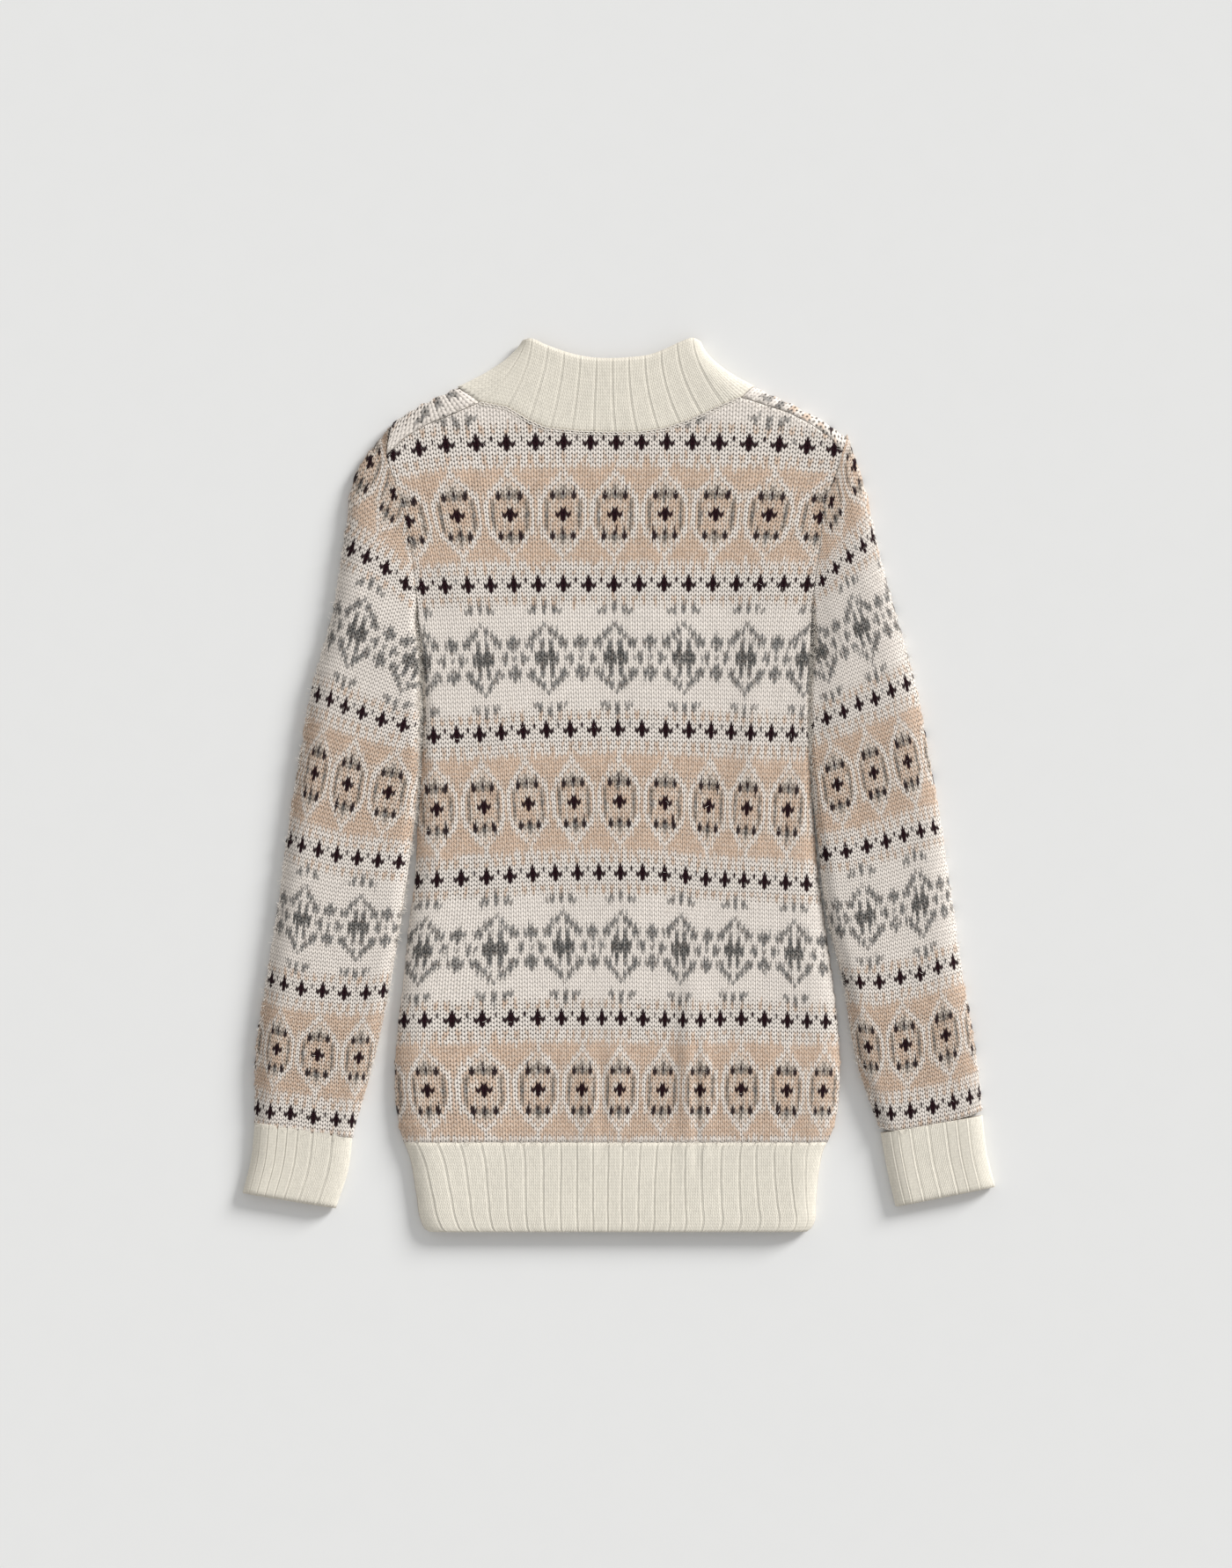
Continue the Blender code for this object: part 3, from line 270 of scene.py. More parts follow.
def zig(stitch):
    # how far a row's line rises at a wale's sides and dips at its middle, in rows
    return knit["zigzag"] * (np.abs(2 * ((stitch + 0.5) % 1.0) - 1) - 0.5)


def ribGrid(first, last, rows, step=0.25):
    # stitches and rows of a ribbed piece, straight along its two ends
    lines = np.concatenate([[0], np.arange(0.5, rows - 0.4), [rows]])
    s, r = np.meshgrid(np.arange(first, last + 0.01, step), lines)
    rise = zig(s)
    rise[[0, -1]] = 0
    return s, r + rise


def legs(stitch, height):
    # the two legs of a stitch stand up on each side of its middle
    return height * np.array([0.0, 1.0, 0.2, 1.0])[np.round(((stitch + 0.5) % 1.0) * 4).astype(int) % 4]


# how dark the painted shade in the gaps beside each part is (darker where dark floats also show through
# behind), and how often a stitch there changes its yarn
pattern = {"gap": 0.42, "crossGap": 0.95, "ovalGap": 0.45, "innerGap": 0.75, "paleGap": 0.9, "greyGap": 0.85,
           "dashed": (0.9, 0.5), "faded": 0.35, "speckled": 0.25, "broken": 0.6, "greyed": 0.25,
           "whitened": 0.95, "mixed": 0.055}


def drawBands(wales, rows, bands, diamondShift=0):
    # the yarn of each quarter stitch, and how dark the painted shade in the gaps beside it is
    s, r = np.meshgrid(np.repeat(wales, 4), rows)
    quarter = np.tile([-0.375, -0.125, 0.125, 0.375], len(wales))
    yarn = np.full(s.shape, white)
    gapShade = np.full(s.shape, pattern["gap"])
    for kind, centre in bands:
        away = r - centre
        off = np.abs(away)
        if kind == "cross":
            beside = np.isin(s % 5, (0, 1, 4))
            yarn[((off == 1) & (s % 5 == 0)) | ((away == 0) & beside)] = dark
            yarn[(away == 2) & (s % 5 == 0) & (np.abs(quarter) < 0.2)] = dark
            dashed = (s % 2 == 0) & (off >= 3) & (off <= 4)
            yarn[dashed & (random.random(s.shape) < np.where(off == 3, *pattern["dashed"]))] = tan
            # painted shade in the gaps around the crosses, darkest here, where the dark floats also show
            # through
            gapShade[off <= 4] = pattern["crossGap"]
            # a thin float shows through between two crosses
            tick = (away == 1) & (np.abs(((s + quarter) % 5) - 2.5) < 0.26)
            yarn[tick] = dark
            yarn[tick & (random.random(s.shape) < pattern["faded"])] = grey
            continue
        chart, period, shift = (ovalChart, 10, 0) if kind == "oval" else (diamondChart, 14, diamondShift)
        across = (s - shift + period // 2) % period - period // 2
        if kind == "oval":
            yarn[off <= 11] = tan
            gapShade[off <= 11] = pattern["ovalGap"]
            gapShade[off <= 6] = pattern["innerGap"]
        for row, marks in chart.items():
            at = away == row if row < 0 else off == row
            for colour, wanted in marks.items():
                hit = np.isin(across, wanted) | np.isin(across + period, wanted)
                yarn[at & hit] = colour
        if kind == "oval":
            # the outlines are one leg wide, and thin to a stem between the ovals above and below
            reach = np.abs(across + quarter)
            line = np.interp(off, np.arange(len(ovalReach)), ovalReach)
            speckled = np.where(random.random(s.shape) < pattern["speckled"], pale, tan)
            outer = (reach > line + 0.3) & (off <= 5)
            yarn = np.where((outer | ((reach < 3) & (off <= 3))) & (yarn == tan), speckled, yarn)
            yarn = np.where((np.abs(across) == 3) & (reach < 2.8) & (off <= 3), speckled, yarn)
            # the dark stitches at the corners fill their notches
            yarn[np.isin(np.abs(across), (0, 2)) & np.isin(away, (5, -4)) & (np.abs(quarter) < 0.2)] = corner
            slanted = (off >= 4) & (off <= 9)
            yarn[(off <= 9) & (np.abs(reach - line) < np.where(slanted, 0.5, 0.34))] = white
            yarn[(off >= 9) & (off <= 11) & (reach < 0.3)] = white
            # its first and last rows are broken by the ground
            yarn[(off == 11) & (random.random(s.shape) < pattern["broken"])] = white
            gapShade[(off <= 11) & np.isin(yarn, (white, pale))] = pattern["paleGap"]
    gapShade[np.isin(yarn, (grey, deep, taupe))] = pattern["greyGap"]
    # the greys are flecked
    fleck = random.random(yarn.shape)
    yarn = np.where((yarn == deep) & (fleck < pattern["greyed"]), grey, yarn)
    yarn = np.where((yarn == grey) & (fleck > pattern["whitened"]), white, yarn)
    # here and there a leg takes the yarn beside it, so that no edge is quite straight
    for step, axis in ((1, 1), (-1, 1), (1, 0), (-1, 0)):
        beside = np.roll(yarn, step, axis=axis)
        mixed = random.random(yarn.shape) < pattern["mixed"]
        mixed = mixed & ~np.isin(yarn, (dark, corner)) & (beside != dark)
        yarn = np.where(mixed, beside, yarn)
    return yarn, gapShade


def quads(index, closed=False):
    # the faces of a welded grid, without those that have shrunk away
    rows, columns = index.shape
    following = np.roll(index, -1, axis=1)
    last = columns if closed else columns - 1
    faces, cells = [], []
    for i in range(rows - 1):
        for j in range(last):
            ring = [index[i, j], following[i, j], following[i + 1, j], index[i + 1, j]]
            ring = [int(v) for n, v in enumerate(ring) if v != ring[n - 1]]
            if len(ring) > 2 and len(set(ring)) == len(ring):
                faces.append(ring)
                cells.append((i, j))
    return faces, np.array(cells)


def rimLoops(faces):
    edges = {}
    for face in faces:
        for a, b in zip(face, face[1:] + face[:1]):
            if (b, a) in edges:
                del edges[(b, a)]
            else:
                edges[(a, b)] = True
    following = dict(edges.keys())
    loops = []
    while following:
        start = next(iter(following))
        loop, here = [], start
        while here in following:
            loop.append(here)
            here = following.pop(here)
        loops.append(loop)
    return loops


def show(name, data):
    made = bpy.data.objects.new(name, data)
    scene.collection.objects.link(made)
    return made


def layer(mesh, name, kind, domain, key, values):
    mesh.attributes.new(name, kind, domain).data.foreach_set(key, values.astype(np.float32).ravel())


def finishMesh(name, points, faces, cells, yarnOf, sv, rv, material):
    # the outer faces carry their yarn, whose colour runs a little into the stitches beside it, and in the
    # yarn's alpha the depth of the painted shade in their gaps; the rim and the inner skin show the floats
    yarn, gap = yarnOf(cells)
    pad = np.zeros(len(faces) - len(cells))
    faceYarn, faceGapShade = np.concatenate([yarn, pad + floats]).astype(int), np.concatenate([gap, pad])
    outside = np.concatenate([0 * gap + 1, pad])
    inner = np.zeros(len(points) - len(sv))
    wale, row = np.concatenate([sv, inner]), np.concatenate([rv - zig(sv), inner])
    mesh = bpy.data.meshes.new(name)
    mesh.from_pydata(place(points).tolist(), [], faces)
    counts = np.array([len(f) for f in faces])
    corners = np.concatenate([np.array(f) for f in faces])
    spread = np.select([np.isin(faceYarn, (grey, deep, taupe)), faceYarn == tan], [0.40, 0.20], 0.09)[:, None]
    own = yarns[faceYarn] * (1 + spread * (2 * random.random((len(faces), 1)) - 1))
    total = np.zeros((len(points), 3))
    times = np.zeros((len(points), 1))
    np.add.at(total, corners, np.repeat(own, counts, axis=0))
    np.add.at(times, corners, 1)
    soft = np.repeat(softness[faceYarn], counts)[:, None]
    rgba = np.empty((len(corners), 4), np.float32)
    rgba[:, :3] = (1 - soft) * np.repeat(own, counts, axis=0) + soft * (total / np.maximum(times, 1))[corners]
    rgba[:, 3] = np.repeat(faceGapShade, counts)
    layer(mesh, "yarn", "FLOAT_COLOR", "CORNER", "color", rgba)
    layer(mesh, "nap", "FLOAT", "FACE", "value", napOver[faceYarn])
    layer(mesh, "outside", "FLOAT", "FACE", "value", outside)
    stitches = np.stack([wale[corners], row[corners]], axis=-1).astype(np.float32).ravel()
    mesh.uv_layers.new(name="stitch").data.foreach_set("uv", stitches)
    mesh.materials.append(material)
    mesh.validate()
    mesh.shade_smooth()
    return show(name, mesh)


def panel(name, s, r, toCloth, surface, relief, yarnOf, wall, material, down=False, spacing=12.0,
          longest=0):
    # a cut panel: a knitted outer skin, a rim and a plain inner skin. s and r are grids of stitch and
    # row, toCloth flattens them to millimetres of cloth, surface gives their points and leans.
    keys = np.round(np.stack([s, r], axis=-1).reshape(-1, 2) * 1e4).astype(np.int64)
    first, index = np.unique(keys, axis=0, return_index=True, return_inverse=True)[1:]
    index = index.reshape(s.shape)
    sv, rv = s.ravel()[first], r.ravel()[first]
    across, along = toCloth(sv, rv)
    points, lean = surface(across, along)
    faces, cells = quads(index)
    if longest:
        # a face that spans a step in the outline is left out
        reach = [max(np.hypot(across[a] - across[b], along[a] - along[b]) for a, b in zip(f, f[1:] + f[:1]))
                 for f in faces]
        faces, cells = [f for f, span in zip(faces, reach) if span < longest], cells[np.array(reach) < longest]
    loops = [loop for loop in rimLoops(faces) if len(loop) > 8]
    edge = np.array([v for loop in loops for v in loop])
    border = np.stack([across[edge], along[edge]], axis=-1)
    inner = points - wall * lean
    points = points + relief(sv, rv)[:, None] * lean
    low, high = border.min(axis=0), border.max(axis=0)
    gx, gy = np.meshgrid(*[np.arange(low[k] + 4, high[k] - 2, spacing) for k in (0, 1)])
    spots = np.stack([gx.ravel(), gy.ravel()], axis=-1)
    clear = np.array([np.min(np.sum((border - p) ** 2, axis=1)) for p in spots]) > 16
    spots = spots[clear]
    rings, start = [], 0
    for loop in loops:
        rings.append(list(range(start, start + len(loop))))
        start += len(loop)
    coords = [Vector(p) for p in np.vstack([border, spots]).tolist()]
    done = delaunay_2d_cdt(coords, [], rings, 1, 1e-4)
    source = [o[0] if o else -1 for o in done[3]]
    spotPoints, spotLean = surface(spots[:, 0], spots[:, 1])
    base = len(points)
    inside = []
    for tri in done[2]:
        ids = [source[v] for v in tri]
        if -1 in ids or len(set(ids)) < 3:
            continue
        a, b, c = (coords[k] for k in ids)
        if (b - a).cross(c - a) > 0:
            ids = ids[::-1]
        inside.append(ids)
    # only the inner points that a face needs are kept
    used = np.unique(np.concatenate([np.array(f) for f in inside]))
    used = used[used >= len(edge)]
    spotPoints, spotLean = spotPoints[used - len(edge)], spotLean[used - len(edge)]
    number = {int(v): k for k, v in enumerate(np.concatenate([np.arange(len(edge)), used]))}
    inside = [[base + number[int(v)] for v in f] for f in inside]
    rim = []
    for ring, loop in zip(rings, loops):
        for k in range(len(loop)):
            n = (k + 1) % len(loop)
            rim.append([loop[n], loop[k], base + ring[k], base + ring[n]])
    everything = faces + rim + inside
    if down:
        everything = [f[::-1] for f in everything]
    allPoints = np.vstack([points, inner[edge], spotPoints - wall * spotLean])
    return finishMesh(name, allPoints, everything, cells, yarnOf, sv, rv, material)


def tube(name, s, r, innerRows, surface, relief, yarnOf, wall, material, flip):
    # a knitted tube; innerRows are the fewer rows of its inner skin, on the same stitches
    period = s.shape[1]
    keys = np.stack([np.broadcast_to(np.arange(period), s.shape), np.round(r * 1e4).astype(int)], axis=-1)
    first, index = np.unique(keys.reshape(-1, 2), axis=0, return_index=True, return_inverse=True)[1:]
    index = index.reshape(s.shape)
    sv, rv = s.ravel()[first], r.ravel()[first]
    points, lean = surface(sv, rv)
    points = points + relief(sv, rv)[:, None] * lean
    faces, cells = quads(index, closed=True)
    innerS = np.broadcast_to(s[0], innerRows.shape)
    innerPoints, innerLean = surface(innerS.ravel(), innerRows.ravel())
    base = len(points)
    innerIndex = base + np.arange(innerRows.size).reshape(innerRows.shape)
    inside = [f[::-1] for f in quads(innerIndex, closed=True)[0]]
    rim = []
    for a, b, top in ((index[0], innerIndex[0], False), (index[-1], innerIndex[-1], True)):
        for j in range(period):
            k = (j + 1) % period
            ring = [int(v) for v in (a[k], a[j], b[j], b[k])]
            rim.append(ring[::-1] if top else ring)
    everything = faces + rim + inside
    if flip:
        everything = [f[::-1] for f in everything]
    return finishMesh(name, np.vstack([points, innerPoints - wall * innerLean]), everything, cells, yarnOf,
                      sv, rv, material)


class node:
    # one socket of a shader; sums and products of these build the tree
    def __init__(self, tree, socket):
        self.tree = tree
        self.socket = socket

    def make(self, kind, inputs=(), output=0, **settings):
        made = self.tree.nodes.new(kind)
        for key, value in settings.items():
            setattr(made, key, value)
        for key, value in dict(inputs).items():
            if isinstance(value, node):
                self.tree.links.new(value.socket, made.inputs[key])
            else:
                made.inputs[key].default_value = value
        return node(self.tree, made.outputs[output])

    def maths(self, operation, *values, clamp=False):
        return self.make("ShaderNodeMath", enumerate(values), operation=operation, use_clamp=clamp)

    def __add__(self, other):
        return self.maths("ADD", self, other)

    def __sub__(self, other):
        return self.maths("SUBTRACT", self, other)

    def __rsub__(self, other):
        return self.maths("SUBTRACT", other, self)

    def __mul__(self, other):
        return self.maths("MULTIPLY", self, other)

    def __pow__(self, other):
        return self.maths("POWER", self, other)

    def __abs__(self):
        return self.maths("ABSOLUTE", self)

    def fraction(self):
        return self.maths("FRACT", self)

    def step(self, start, end):
        return self.make("ShaderNodeMapRange", {"Value": self, "From Min": start, "From Max": end},
                         interpolation_type="SMOOTHSTEP")

    def tint(self, other, amount):
        return self.make("ShaderNodeMix", {0: amount, 6: self, 7: other}, output=2, data_type="RGBA")

    def scaled(self, amount):
        return self.make("ShaderNodeVectorMath", {0: self, 3: amount}, operation="SCALE")

    __radd__ = __add__
    __rmul__ = __mul__


def newMaterial(name, roughness):
    made = bpy.data.materials.new(name)
    made.use_nodes = True
    shader = made.node_tree.nodes["Principled BSDF"]
    shader.inputs["Roughness"].default_value = roughness
    start = node(made.node_tree, None)
    return made, made.node_tree, shader, start, start.make("ShaderNodeTexCoord", output="Object")


def knitMaterial(name, looks):
    made, tree, shader, start, where = newMaterial(name, 0.95)
    stitch = start.make("ShaderNodeUVMap", uv_map="stitch")
    u = start.make("ShaderNodeSeparateXYZ", {0: stitch}, output="X")
    v = start.make("ShaderNodeSeparateXYZ", {0: stitch}, output="Y")
    yarn = start.make("ShaderNodeAttribute", output="Color", attribute_name="yarn")
    gapShadeDepth = start.make("ShaderNodeAttribute", output="Alpha", attribute_name="yarn")
    over = start.make("ShaderNodeAttribute", output="Fac", attribute_name="nap")
    across = abs((u + 0.5).fraction() - 0.5) * 2.0      # 1 at a wale's side, 0 at its middle
    leg = 1.0 - abs(across - 0.5) * 2.0
    ply = abs((v + across * 0.3 + 0.5).fraction() - 0.5) * 2.0
    hole = abs((v + across * 0.5 + 0.25).fraction() - 0.5) * 2.0      # staggered from wale to wale

    def noise(scale, detail, roughness=0.5):
        return start.make("ShaderNodeTexNoise", {"Vector": where, "Scale": scale, "Detail": detail,
                                                 "Roughness": roughness})

    fibres = noise(looks["fibres"], 4.0, 0.7)
    clouds = noise(26.0, 3.0)
    nap = noise(looks["fibres"] * 0.35, 3.0)
    blush = noise(looks["fibres"] * 0.2, 2.0)
    # painted shade: the gaps beside the legs darken in staggered dots, and the line between rows darkens too
    beside = 1.0 - leg.step(0.08, 0.88)
    gap = gapShadeDepth * beside * (0.05 + hole.step(0.28, 0.80) * 0.95) * looks["gap"]
    gap = gap + ply.step(0.72, 1.0) * looks["rowShade"]
    # the base colour carries the painted gap shade, with the fibres' and clouds' own tone
    light = (1.0 - gap) * (0.80 + fibres * 0.40) * (0.94 + clouds * 0.12)
    dyed = yarn.tint((*looks["blush"], 1.0), blush.step(0.50, 0.80) * over * 0.6)
    worn = dyed.tint((*looks["nap"], 1.0), nap.step(0.42, 0.70) * over)
    tree.links.new(worn.scaled(light).socket, shader.inputs["Base Color"])
    height = leg.step(0.0, 0.8) * 0.6 + (1.0 - ply.step(0.5, 1.0)) * 0.35 + fibres * looks["fluff"]
    bump = start.make("ShaderNodeBump", {"Height": height, "Strength": looks["bump"], "Distance": 0.0009})
    tree.links.new(bump.socket, shader.inputs["Normal"])
    for key, value in {"Specular IOR Level": 0.06, "Sheen Weight": 0.06, "Sheen Roughness": 0.6}.items():
        shader.inputs[key].default_value = value
    return made


def plainMaterial(name, colour, roughness, grain=0.0, scale=300.0):
    made, tree, shader, start, where = newMaterial(name, roughness)
    noise = start.make("ShaderNodeTexNoise", {"Vector": where, "Scale": scale, "Detail": 3.0})
    base = start.make("ShaderNodeRGB")
    base.socket.default_value = (*colour, 1.0)
    tree.links.new(base.scaled(1.0 - grain + noise * (2 * grain)).socket, shader.inputs["Base Color"])
    return made


# gap and rowShade set how dark the painted shade is in the gaps and in the lines between rows
jacquardLooks = {"fibres": 1500.0, "gap": 0.95, "rowShade": 0.10, "nap": (0.74, 0.66, 0.58),
                 "blush": (0.42, 0.26, 0.17), "fluff": 0.5, "bump": 0.55}
ribLooks = {"fibres": 1700.0, "gap": 0.42, "rowShade": 0.06, "nap": (0.82, 0.77, 0.69), "blush": (0.6, 0.5, 0.4),
            "fluff": 0.25, "bump": 0.30}
jacquard = knitMaterial("jacquard knit", jacquardLooks)
ribbed = knitMaterial("rib knit", ribLooks)
fibreLooks = plainMaterial("loose fibres", (0.80, 0.75, 0.68), 0.9)
horn = plainMaterial("horn", (0.16, 0.10, 0.06), 0.35, 0.25, 160.0)
thread = plainMaterial("sewing thread", (0.70, 0.64, 0.55), 0.8, 0.1, 900.0)
print("materials ready")


def ribYarn(cells):
    # cream yarn, with a light painted shade in the gaps between its stitches
    return np.full(len(cells), cream), np.full(len(cells), 0.25)


def pickYarn(drawn, every=1, shift=0):
    # reads a drawing's quarter stitches at a panel's cells
    def pick(cells):
        i, j = cells[:, 0], np.minimum((cells[:, 1] + shift) * every, drawn[0].shape[1] - 1)
        return drawn[0][i, j], drawn[1][i, j]
    return pick


bodyWarp = makeWarp(bodyMarks)
longRows = np.arange(0, 205, 0.5)
wide = np.arange(-70, 70.01, 0.25)      # stitches, past both sides of any piece
fine = np.arange(-60, 60, 0.25)


def sideStitches(warp, side, rows, lineX):
    # the stitch at which each row meets the body's side
    found = []
    for row in rows:
        x, up = warp(wide, row)
        found.append(np.interp(0, x - lineX(up), wide))
    return np.array(found)


def topRows(warp, stitches, edgeTable, start=110):
    # the row at which each wale meets the top edge
    rows = longRows[longRows > start]
    found = []
    for stitch in stitches:
        x, up = warp(stitch, rows)
        found.append(np.interp(0, up - np.interp(x, edgeTable[:, 0], edgeTable[:, 1]), rows))
    return np.array(found)


# the small unevenness of a knitted fold: height of each wave in millimetres, its pace and its start
waves = ((0.34, 2.1, 0.7), (0.30, 1.27, 2.0), (0.22, 3.3, 4.1))


def bumps(at):
    return sum(height * np.sin(at * pace + start) for height, pace, start in waves)


def softFolds(x, up):
    total = np.zeros(np.broadcast(x, up).shape)
    for fx, fup, width, length, height in backFolds:
        total = total + height * np.exp(-((x - fx) / width) ** 2 - ((up - fup) / length) ** 2)
    return total


# rounding of the sides, how much of it goes left and right where the sleeves lie against them, and the
# widths of the dips at the seams
back = {"round": 20.0, "tighter": (11.0, 16.5), "armFade": 90, "rows": 181, "bumpsEnd": (270, 330),
        "armSeam": 2.6, "hemSeam": 2.2, "topSeam": 2.4}


def backSurface(x, up):
    left, right = sideX(-1, up), sideX(1, up)
    edge = np.minimum(x - left, right - x)
    belowArm = 1 - ramp(up, underarmUp - back["armFade"], underarmUp + 2)
    sine, cosine = arc(edge, back["round"] - np.where(x > 0, *back["tighter"][::-1]) * ramp(up, *closeArm))
    drop = bodyHeight - foldHeight
    seams = np.exp(-np.maximum(edge, 0) / back["armSeam"]) * (1 - belowArm)
    seams = seams + np.exp(-np.maximum(up - hemUp, 0) / back["hemSeam"])
    seams = seams + np.exp(-np.maximum(np.interp(x, *backTop.T) - up, 0) / back["topSeam"])
    z = bodyHeight - drop * belowArm * (1 - sine) + softFolds(x, up) * sine
    z = z - knit["seamDip"] * np.minimum(seams, 1.0)
    outward = np.where(x < (left + right) / 2, -1.0, 1.0) * cosine * belowArm
    x = x + outward * bumps(up * 0.3) * (1 - ramp(up, *back["bumpsEnd"]))
    return stack(x, up, z), unit(stack(outward, 0.0, 1 - belowArm * (1 - sine)))


def holdAbove(warp, outline, rows, tipUp):
    ups = warp(outline, rows)[1]
    outline[ups > tipUp] = np.interp(tipUp, ups, outline)


def clampRows(stitches, rowLines, leftStitch, rightStitch, tops):
    # grids of stitch and row, drawn in to the panel's outline
    s, r = np.meshgrid(stitches, rowLines)
    rise = zig(s)
    rise[[0, -1]] = 0
    low, high = leftStitch[:, None], rightStitch[:, None]
    outside = (s < low) | (s > high)
    r = np.where(outside, r, r + rise)
    s = np.clip(s, low, high)
    return s, np.clip(r, 0, tops(s))


def makeBack():
    rowLines = np.concatenate([[0], np.arange(0.5, back["rows"])])
    left = sideStitches(bodyWarp, -1, rowLines, lambda up: sideX(-1, up))
    right = sideStitches(bodyWarp, 1, rowLines, lambda up: sideX(1, up))
    # above the tips of the shoulder seams the outline is the top edge
    holdAbove(bodyWarp, left, rowLines, backTop[0, 1])
    holdAbove(bodyWarp, right, rowLines, backTop[-1, 1])
    stitches = np.arange(np.floor(left.min()) - 0.5, np.ceil(right.max()) + 0.51, 0.25)
    found = topRows(bodyWarp, fine, backTop)
    s, r = clampRows(stitches, rowLines, left, right, lambda at: np.interp(at, fine, found))
    wales = np.arange(np.ceil(stitches[0]), stitches[-1]).astype(int)
    drawn = drawBands(wales, np.arange(len(rowLines)), bodyBands)

    def relief(sv, rv):
        return legs(sv, knit["leg"]) * np.minimum(1, rv)

    return panel("backKnit", s, r, bodyWarp, backSurface, relief,
                 pickYarn(drawn), knit["wall"], jacquard)


backKnit = makeBack()
print("back knitted", len(backKnit.data.polygons))


def ribRelief(sv, rv, depth=rib["depth"]):
    # flat ribs of six stitches: the last is a narrow groove with a thin raised wale beside it
    at = (sv / rib["stitches"]) % 1.0
    off = np.abs(at - np.round(at))
    groove = np.exp(-(off / rib["groove"]) ** 2)
    beside = np.exp(-((at - 0.13) / 0.035) ** 2)
    return legs(sv, rib["leg"]) - depth * groove + rib["beside"] * beside


def plain(sv, rv):
    return 0 * sv


# the grooves' places along the hem's seam and foot, in any even unit
hem = {"round": 20.0, "frontStitches": 72}
hem["grooves"] = np.array([464, 478, 501, 526, 550, 574, 597.6, 619, 640, 658, 676, 694, 710, 730, 749, 766,
                           781, 799.5, 822, 843.5, 861, 881.6, 900.7, 919, 940])
hem["foot"] = np.array([487, 507, 526, 543.7, 562.7, 581.8, 601, 620, 638, 656.4, 674, 690, 705, 723, 740.6,
                        758, 776, 795, 816, 836, 857.5, 879, 898, 910, 917])


def hemOutline(up):
    return smooth(leftHem[:, 0], leftHem[:, 1], up), smooth(rightHem[:, 0], rightHem[:, 1], up)


def hemBackSurface(x, up):
    left, right = hemOutline(up)
    edge = np.minimum(x - left, right - x)
    sine, cosine = arc(edge, hem["round"])
    worn = np.exp(-np.maximum(up, 0) / 1.6) * 0.7 + np.exp(-np.maximum(hemUp - up, 0) / 2.0) * 0.3
    z = bodyHeight - (bodyHeight - foldHeight) * (1 - sine) - worn * sine
    z = z + softFolds(x, np.maximum(up, hemUp)) * ramp(up, 20, hemUp) * sine
    outward = np.where(x < 0, -1.0, 1.0) * cosine
    return stack(x, up, z), unit(stack(outward, 0.0, sine))


def hemCloth(sv, rv):
    # stitches of the hem, along its ribs as they bend between its foot and its seam
    up = rv * rib["row"]
    left, right = hemOutline(up)
    ribs = sv / rib["stitches"]
    top, foot = [(np.interp(ribs, np.arange(len(line)), line) - line[0]) / (line[-1] - line[0])
                 for line in (hem["grooves"], hem["foot"])]
    share = foot + up / hemUp * (top - foot)
    return left + share * (right - left), up


def makeHemBack():
    s, r = ribGrid(0, (len(hem["grooves"]) - 1) * rib["stitches"], hemUp / rib["row"])
    return panel("hemBackRib", s, r, hemCloth, hemBackSurface, ribRelief, ribYarn, rib["wall"], ribbed)


hemBackRib = makeHemBack()
print("hem ribbed", len(hemBackRib.data.polygons))


def headingOut(ox, oup, ix, iup):
    # the direction from a tube's inner fold to its outer one, and the distance between them
    across = np.hypot(ix - ox, iup - oup)
    return np.stack([(ox - ix) / across, (oup - iup) / across], axis=-1), across


def tubeNormal(heading, cOut, cIn, sine, above):
    lean = heading * (cOut - cIn)[..., None]
    return unit(stack(lean[..., 0], lean[..., 1], np.where(above, sine, -sine)))


def rowsThrough(table, t):
    at = np.asarray(t, float) * (len(table) - 1)
    keys = np.arange(len(table))
    return [smooth(keys, table[:, k], at) for k in range(table.shape[1])]


# stitches all round, rounding at the outer and the inner fold, how much of the inner one goes left and
# right beside the body
sleeve = {"around": 68, "outer": 20.0, "inner": 13.0, "tighter": {-1: 5.0, 1: 9.5}, "shift": 7}


